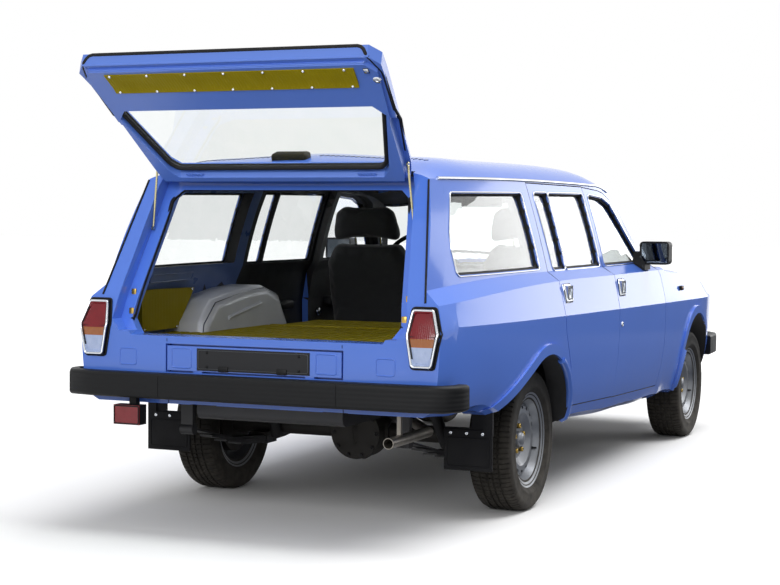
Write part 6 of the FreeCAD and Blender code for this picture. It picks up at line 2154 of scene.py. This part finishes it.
    @staticmethod
    def _sew(shape: bpy.types.Object, pad: Pad) -> None:
        """Draws a pad's seams in: piping inside its outline, channels on its sat-on face, a pocket behind.

        Args:
            shape: the pad's object.
            pad: the pad.
        """
        alongs = [along for _, along in pad.outline]
        along_half, along_middle = (max(alongs) - min(alongs)) / 2, (max(alongs) + min(alongs)) / 2
        depth_middle = sum(pad.thick) / 2
        for vert in shape.data.vertices:
            place = vert.co - Vector((0, AXLE, 0))
            depth, along = (place.z, place.y) if pad.flat else (place.y, place.z)
            share = (along - along_middle) / along_half
            across = abs(place.x) / 0.24
            sat_on = depth > depth_middle if pad.flat else depth < depth_middle
            groove = 0.0
            if sat_on and pad.name != "restraint":
                groove = math.exp(-((across - 0.66) / 0.035) ** 2)
                for channel in (-0.55, -0.2, 0.15, 0.5):
                    if across < 0.64:
                        groove = max(groove, 0.8 * math.exp(-((share - channel) / 0.03) ** 2))
            elif pad.name == "back" and across < 0.72:
                hem = -0.35 - 0.06 * (1 - (across / 0.72) ** 2)
                groove = 0.9 * math.exp(-((share - hem) / 0.016) ** 2)
            toward = depth_middle - depth
            pull = Vector((0, 0, toward)) if pad.flat else Vector((0, toward, 0))
            if pull.length > 1e-6:
                vert.co += pull.normalized() * groove * 0.005

    def _runners(self) -> None:
        """Adds the seats' runners, side plates and the restraints' rods."""
        build = bmesh.new()
        lean = self._leaned(-14)
        for sign in (1, -1):
            for reach, half, back, low, high, rounding, turn, finish in (
                    (0.2, 0.012, (-1.620, -1.180), 0.413, 0.585, 0.004, None, 1),
                    (0.07, 0.006, (-1.146, -1.134), 1.12, 1.24, 0.0045, lean, 0),
                    (0.243, 0.007, (-1.20, -1.10), 0.565, 0.72, 0.006, None, 1)):
                for x in (sign * self.seat_across - reach, sign * self.seat_across + reach):
                    rounded_box(build, at(x - half, back[0], low), at(x + half, back[1], high), rounding,
                        turn, finish)
        hang(piece_of("seat_runners", build, [Coat.CHROME, Coat.CHASSIS]), "body", Coat.CHASSIS,
            ["front_seats"])

    @staticmethod
    def _mirror() -> None:
        """Hangs the rear-view mirror from the header."""
        build = bmesh.new()
        rounded_box(build, at(-0.115, -1.545, 1.325), at(0.115, -1.525, 1.38), 0.008, None, 0, 3)
        rounded_box(build, at(-0.107, -1.5255, 1.331), at(0.107, -1.5235, 1.374), 0.001, None, 1)
        rounded_box(build, at(-0.008, -1.555, 1.36), at(0.008, -1.54, 1.46), 0.003, None, 0)
        hang(piece_of("cabin_mirror", build, [Coat.PLASTIC, Coat.MIRROR]), "body", Coat.PLASTIC)


# wheels and running gear


@dataclass
class Wheels:
    """Four wheels: treaded tyres, slotted steel rims, nuts, caps and valves."""

    blocks: int = 84

    def build(self) -> None:
        """Makes each wheel on its own body."""
        for end in ("front", "rear"):
            for side, sign in SIDES.items():
                low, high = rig.box(f"tyre_{end}_{side}")
                centre = (low + high) / 2
                body = f"{end}_wheel_{side}"
                self._tyre(end, side, centre, (high.x - low.x) / 2, (high.z - low.z) / 2, body)
                self._rim(end, side, sign, centre, body)

    def _tyre(self, end: str, side: str, centre: Vector, half: float, radius: float, body: str) -> None:
        """Builds a tyre from one tread block's slice, repeated round the wheel.

        Args:
            end: front or rear.
            side: right or left.
            centre: the wheel's centre.
            half: half the tyre's width.
            radius: its outer radius.
            body: the wheel's body.
        """
        rim = 0.1905
        outer = [(0.070, rim - 0.014), (0.0745, rim + 0.001), (0.078, rim + 0.006), (0.0815, rim + 0.02),
                 (half - 0.0022, rim + 0.036), (half - 0.0004, rim + 0.046), (half - 0.0014, rim + 0.050),
                 (half - 0.0006, rim + 0.058), (half - 0.0026, radius - 0.036),
                 (half - 0.0012, radius - 0.032),
                 (half - 0.0052, radius - 0.016), (half - 0.0082, radius - 0.0125)]
        tread = [(half - 0.0105, radius - 0.0085, 1), (half - 0.0290, radius - 0.0004, 1),
            (0.048, radius - 0.0002, 1),
                 (0.0465, radius - 0.0075, 0), (0.0395, radius - 0.0075, 0), (0.038, radius - 0.0001, 1),
                 (0.017, radius - 0.0001, 1), (0.0155, radius - 0.0075, 0), (0.0085, radius - 0.0075, 0),
                 (0.007, radius - 0.0001, 1)]
        half_line = [(x, r, 0) for x, r in outer] + tread
        line = half_line + [(-x, r, k) for x, r, k in reversed(half_line)]
        line += [(-0.068, rim - 0.006, 0), (0.068, rim - 0.006, 0)]
        step = 2 * math.pi / self.blocks
        angles = (0.0, 0.36 * step, 0.70 * step, 0.76 * step, 0.94 * step, step)
        build = bmesh.new()
        rows = []
        for number, angle in enumerate(angles):
            row = []
            for x, r, raised in line:
                sunk = 0.0055 if raised and number in (3, 4) else 0.0
                skew = 0.22 * step * (abs(x) / half) if raised else 0.0
                turn = angle + skew
                row.append(build.verts.new((x, (r - sunk) * math.cos(turn), (r - sunk) * math.sin(turn))))
            rows.append(row)
        count = len(line)
        for one, two in zip(rows, rows[1:]):
            for i in range(count):
                j = (i + 1) % count
                build.faces.new((one[i], one[j], two[j], two[i]))
        item = small(build, "tread_slice", 32.0)
        turns = [(i * step, 0.0, 0.0) for i in range(self.blocks)]
        tyre = repeated(f"tyre_{end}_{side}_treaded", [centre] * self.blocks, turns, item, Coat.TYRE)
        joined = bmesh.new()
        joined.from_mesh(tyre.data)
        bmesh.ops.remove_doubles(joined, verts=joined.verts, dist=1e-5)
        bmesh.ops.recalc_face_normals(joined, faces=joined.faces)
        shade(joined, 34.0)
        joined.to_mesh(tyre.data)
        joined.free()
        hang(tyre, body, Coat.TYRE, [f"tyre_{end}_{side}"])

    @staticmethod
    def _rim(end: str, side: str, sign: int, centre: Vector, body: str) -> None:
        """Dresses a rim and adds its nuts, hub cap and valve.

        Args:
            end: front or rear.
            side: right or left.
            sign: -1 on the right, 1 on the left.
            centre: the wheel's centre.
            body: the body that it rides on.
        """
        dressed_copy(f"rim_{end}_{side}", body, [Coat.WHEEL], smooth=34.0)
        tree = skin_finder(f"rim_{end}_{side}")
        out = Vector((sign, 0, 0))

        def face_at(radius: float, angle: float) -> Vector:
            """Where the rim's outer face lies at a radius and angle."""
            start = centre + Vector((sign * 0.3, radius * math.cos(angle), radius * math.sin(angle)))
            return tree.ray_cast(start, -out)[0]

        spots = [(face_at(0.0585, math.radians(90 + 72 * i)), out) for i in range(5)]
        scatter(f"wheel_nuts_{end}_{side}", spots, hexagon_nut(0.024, 0.017), Coat.BRASS, body)
        build = bmesh.new()
        disc(build, Vector((face_at(0.045, 0.4).x, centre.y, centre.z)), out,
             [(0.036, -0.004), (0.036, 0.010), (0.033, 0.020), (0.026, 0.027), (0.012, 0.0295), (0.0, 0.030)],
             32)
        hang(piece_of(f"hub_cap_{end}_{side}", build, [Coat.WHEEL]), body, Coat.WHEEL)
        build = bmesh.new()
        disc(build, face_at(0.160, math.radians(200)) - out * 0.004, out,
             [(0.0055, 0.0), (0.0055, 0.018), (0.0042, 0.020), (0.0042, 0.034), (0.0032, 0.036),
                 (0.0, 0.036)], 14)
        hang(piece_of(f"valve_{end}_{side}", build, [Coat.RUBBER]), body, Coat.RUBBER)


@dataclass
class RunningGear:
    """Axles, springs, engine block, exhaust, tank and flaps under the body."""

    finishes: dict[str, tuple[str, Coat]] = field(default_factory=lambda: {
        "front_suspension": ("body", Coat.CHASSIS), "rear_axle": ("body", Coat.CAST_IRON),
        "leaf_springs": ("body", Coat.CHASSIS), "rear_dampers": ("body", Coat.CHASSIS),
        "powertrain": ("body", Coat.CAST_IRON), "fuel_tank": ("body", Coat.CHASSIS),
        "exhaust": ("body", Coat.EXHAUST), "knuckle_left": ("hub_left", Coat.CAST_IRON),
        "knuckle_right": ("hub_right", Coat.CAST_IRON), "mud_flaps": ("body", Coat.RUBBER),
    })

    def build(self) -> None:
        """Dresses the running gear and fixes the flaps' screws."""
        for node, (body, kind) in self.finishes.items():
            dressed_copy(node, body, [kind], smooth=34.0)
        tree = skin_finder("mud_flaps")
        spots = [(spot, Vector((0, 1, 0))) for spot in from_behind(
            tree, [(sign * a, 0.392) for sign in (1, -1) for a in (0.63, 0.70, 0.77)], 0.0, 0.62)]
        scatter("flap_screws", spots, screw_head(0.008, 0.005), Coat.CHROME, "body")
        for side, sign in SIDES.items():
            corners = [(sign * a, z) for a,
                z in ((0.615, 0.255), (0.797, 0.255), (0.797, 0.372), (0.615, 0.372))]
            line = from_behind(tree, rounded_line(corners, 0.01), 0.0, 0.62)
            bead(f"flap_border_{side}", line, 0.0028, Coat.RUBBER, "body", sides=6)
        self._cover_bolts()

    @staticmethod
    def _cover_bolts() -> None:
        """Bolts the differential's cover."""
        tree = skin_finder("rear_axle")
        low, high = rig.box("tyre_rear_left")
        height = (low.z + high.z) / 2
        spots = []
        for i in range(10):
            angle = 2 * math.pi * i / 10
            across, up = -0.014 + 0.104 * math.cos(angle), height + 0.104 * math.sin(angle)
            spots += [(spot, Vector((0, 1, 0))) for spot in from_behind(tree, [(across, up)], 0.0, 0.4)]
        scatter("axle_cover_bolts", spots, hexagon_nut(0.019, 0.009), Coat.CHASSIS, "body")


# studio


@dataclass
class Studio:
    """A pale floor with painted shade round the car, a dark sheet seen only in gloss, soft boxes and the photograph's
    camera.
    """

    eye: Place = (-3.1751, 8.2624, 1.2949)
    yaw: float = 23.2009
    pitch: float = 2.6649
    roll: float = 0.3778
    focal_pixels: float = 1722.92
    centre: tuple[float, float] = (389.37, 292.57)
    width: float = 780.0
    height: float = 585.0

    def build(self) -> None:
        """Sets up floor, light and camera."""
        self._floor()
        self._gloss_shade_sheet()
        self._sun()
        self._light("side_box", (-4.1, -7.6, 2.35), (-0.6, 0.4, 0.9), (7.6, 2.9), 150.0)
        self._light("rear_box", (-0.6, 10.5, 4.2), (0.0, 1.8, 0.9), (5.5, 3.2), 420.0)
        self._world()
        self._camera()
        bpy.context.scene.view_settings.view_transform = "Standard"

    @staticmethod
    def _material(name: str) -> bpy.types.Material:
        """An empty node material.

        Args:
            name: its name.

        Returns:
            The material.
        """
        material = bpy.data.materials.new(name)
        material.use_nodes = True
        material.node_tree.nodes.clear()
        return material

    @staticmethod
    def _sheet(name: str, low: Place, high: Place, material: bpy.types.Material) -> bpy.types.Object:
        """Lays a flat sheet that isn't part of the car.

        Args:
            name: the sheet's name.
            low: its right front corner.
            high: its left rear corner, at the same height.
            material: what it is made of.

        Returns:
            The sheet.
        """
        mesh = bpy.data.meshes.new(name)
        corners = [low, (high[0], low[1], low[2]), high, (low[0], high[1], low[2])]
        mesh.from_pydata(corners, [], [(0, 1, 2, 3)])
        mesh.materials.append(material)
        return stand(name, mesh)

    def _floor(self) -> None:
        """Lays the pale floor, white to the camera and in reflections, and clear when it is seen from below; its glow
        fades out towards the car, painted shade round the car.
        """
        reach = 60.0
        material = self._material("matt_studio_paper")
        tree = material.node_tree
        seen = self._seen(tree)
        tone = add(tree, "ShaderNodeMix", {"data_type": "RGBA"}, {"Factor": seen})
        tone.inputs[6].default_value = linear("#8c8c8e")
        tone.inputs[7].default_value = linear("#f6f6f6")
        paper = add(tree, "ShaderNodeBsdfDiffuse", {}, {"Color": tone.outputs[2]})
        place = add(tree, "ShaderNodeTexCoord").outputs["Object"]
        far = add(tree, "ShaderNodeVectorMath", {"operation": "LENGTH"}, {0: place})
        # the glow grows from nothing near the car to full strength far out: painted shade round the car that deepens
        # its shadow
        glow_with_painted_shade_near_car = add(tree, "ShaderNodeMapRange", {"interpolation_type": "SMOOTHSTEP"}, {
            "Value": far.outputs["Value"], "From Min": 2.8, "From Max": 7.0, "To Min": 0.0, "To Max": 0.2})
        lift = add(tree, "ShaderNodeMath", {"operation": "MULTIPLY"},
            {0: seen, 1: glow_with_painted_shade_near_car.outputs["Result"]})
        glow = add(tree, "ShaderNodeEmission", {}, {"Color": linear("#ffffff"), "Strength": lift.outputs[0]})
        both = add(tree, "ShaderNodeAddShader", {}, {0: paper.outputs[0], 1: glow.outputs[0]})
        below = add(tree, "ShaderNodeMath", {"operation": "MULTIPLY"}, {
            0: add(tree, "ShaderNodeNewGeometry").outputs["Backfacing"],
            1: add(tree, "ShaderNodeLightPath").outputs["Is Camera Ray"]})
        clear = add(tree, "ShaderNodeBsdfTransparent")
        surface = add(tree, "ShaderNodeMixShader", {},
            {0: below.outputs[0], 1: both.outputs[0], 2: clear.outputs[0]})
        add(tree, "ShaderNodeOutputMaterial", {}, {"Surface": surface.outputs[0]})
        floor = self._sheet("studio_floor", (-reach, -reach, 0.0), (reach, reach, 0.0), material)
        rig.stage(floor)

    def _gloss_shade_sheet(self) -> None:
        """Lays a dark sheet on the floor beside and ahead of the car, seen only in gloss: painted shade in the
        reflections of the lower flank.
        """
        material = self._material("painted_shade_for_gloss")
        tree = material.node_tree
        # painted shade: a dark colour that only the car's gloss mirrors
        cloth = add(tree, "ShaderNodeBsdfDiffuse", {}, {"Color": linear("#5a5d66")})
        add(tree, "ShaderNodeOutputMaterial", {}, {"Surface": cloth.outputs[0]})
        gloss_shade_sheet = self._sheet("studio_flag", (-9.0, -26.0, 0.004), (-0.98, 3.4, 0.004), material)
        gloss_shade_sheet.visible_camera = gloss_shade_sheet.visible_diffuse = gloss_shade_sheet.visible_transmission = False
        gloss_shade_sheet.visible_shadow = gloss_shade_sheet.visible_volume_scatter = False
        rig.stage(gloss_shade_sheet)

    @staticmethod
    def _seen(tree: bpy.types.NodeTree) -> bpy.types.NodeSocket:
        """The socket that is 1 for what the camera sees, straight, through glass or in gloss.

        Args:
            tree: the floor's or the world's tree.

        Returns:
            The socket.
        """
        path = add(tree, "ShaderNodeLightPath")
        seen = path.outputs["Is Camera Ray"]
        for ray in ("Is Transmission Ray", "Is Glossy Ray"):
            seen = add(tree, "ShaderNodeMath", {"operation": "MAXIMUM"},
                {0: seen, 1: path.outputs[ray]}).outputs[0]
        return seen

    @staticmethod
    def _sun() -> None:
        """Lights floor and roof evenly from a wide soft disc overhead, a little to the right and ahead."""
        data = bpy.data.lights.new("overhead_disc", "SUN")
        data.energy = 2.6
        data.angle = math.radians(50)
        lamp = stand("overhead_disc", data)
        lamp.rotation_euler = Vector((-0.28, -0.30, 0.9)).to_track_quat("Z", "Y").to_euler()

    @staticmethod
    def _light(name: str, place: Place, aim: Place, size: tuple[float, float], power: float) -> None:
        """Hangs one white soft box.

        Args:
            name: its name.
            place: where it hangs.
            aim: what it points at.
            size: its width and height.
            power: its power in watts.
        """
        data = bpy.data.lights.new(name, "AREA")
        data.shape = "RECTANGLE"
        data.size, data.size_y = size
        data.energy = power
        lamp = stand(name, data)
        lamp.location = place
        lamp.rotation_euler = (Vector(aim) - Vector(place)).to_track_quat("-Z", "Y").to_euler()

    def _world(self) -> None:
        """Lights the scene evenly and shows white behind it, also in glass and gloss."""
        world = bpy.data.worlds.new("studio_air")
        bpy.context.scene.world = world
        world.use_nodes = True
        tree = world.node_tree
        tree.nodes.clear()
        strength = add(tree, "ShaderNodeMapRange", {},
            {"Value": self._seen(tree), "To Min": 0.42, "To Max": 1.0})
        air = add(tree, "ShaderNodeBackground", {},
            {"Color": linear("#ffffff"), "Strength": strength.outputs["Result"]})
        add(tree, "ShaderNodeOutputWorld", {}, {"Surface": air.outputs[0]})

    def _camera(self) -> None:
        """Stands the camera where the photograph was taken from."""
        yaw, pitch, roll = (math.radians(a) for a in (self.yaw, self.pitch, self.roll))
        ahead = Vector((math.sin(yaw) * math.cos(pitch), -math.cos(yaw) * math.cos(pitch), -math.sin(pitch)))
        level = ahead.cross(Vector((0, 0, 1))).normalized()
        upright = level.cross(ahead)
        right = level * math.cos(roll) + upright * math.sin(roll)
        top = upright * math.cos(roll) - level * math.sin(roll)
        data = bpy.data.cameras.new("portrait_camera")
        data.sensor_fit = "HORIZONTAL"
        data.sensor_width = 36.0
        data.lens = self.focal_pixels / self.width * data.sensor_width
        data.shift_x = (self.width / 2 - self.centre[0]) / self.width
        data.shift_y = (self.centre[1] - self.height / 2) / self.width
        data.clip_start, data.clip_end = 0.1, 200.0
        camera = stand("portrait_camera", data)
        camera.matrix_world = Matrix.Translation(self.eye) @ Matrix((right, top,
            -ahead)).transposed().to_4x4()
        bpy.context.scene.camera = camera


def main() -> None:
    """Builds the dressed car and its studio."""
    logging.basicConfig(level=logging.INFO, format="%(name)s: %(message)s")
    for part in (BodyPanels(), Doors(), Windows(), Tailgate(), RearEnd(), FrontEnd(), CargoBay(), Cabin(),
            Wheels(),
                 RunningGear(), Studio()):
        LOG.info("building %s", type(part).__name__)
        part.build()
    boxes = [[list(corner) for corner in box] for box in (CAD_BOX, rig.bounds())]
    with open("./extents.json", "w") as sizes:
        json.dump(boxes, sizes)


if __name__ == "__main__":
    main()
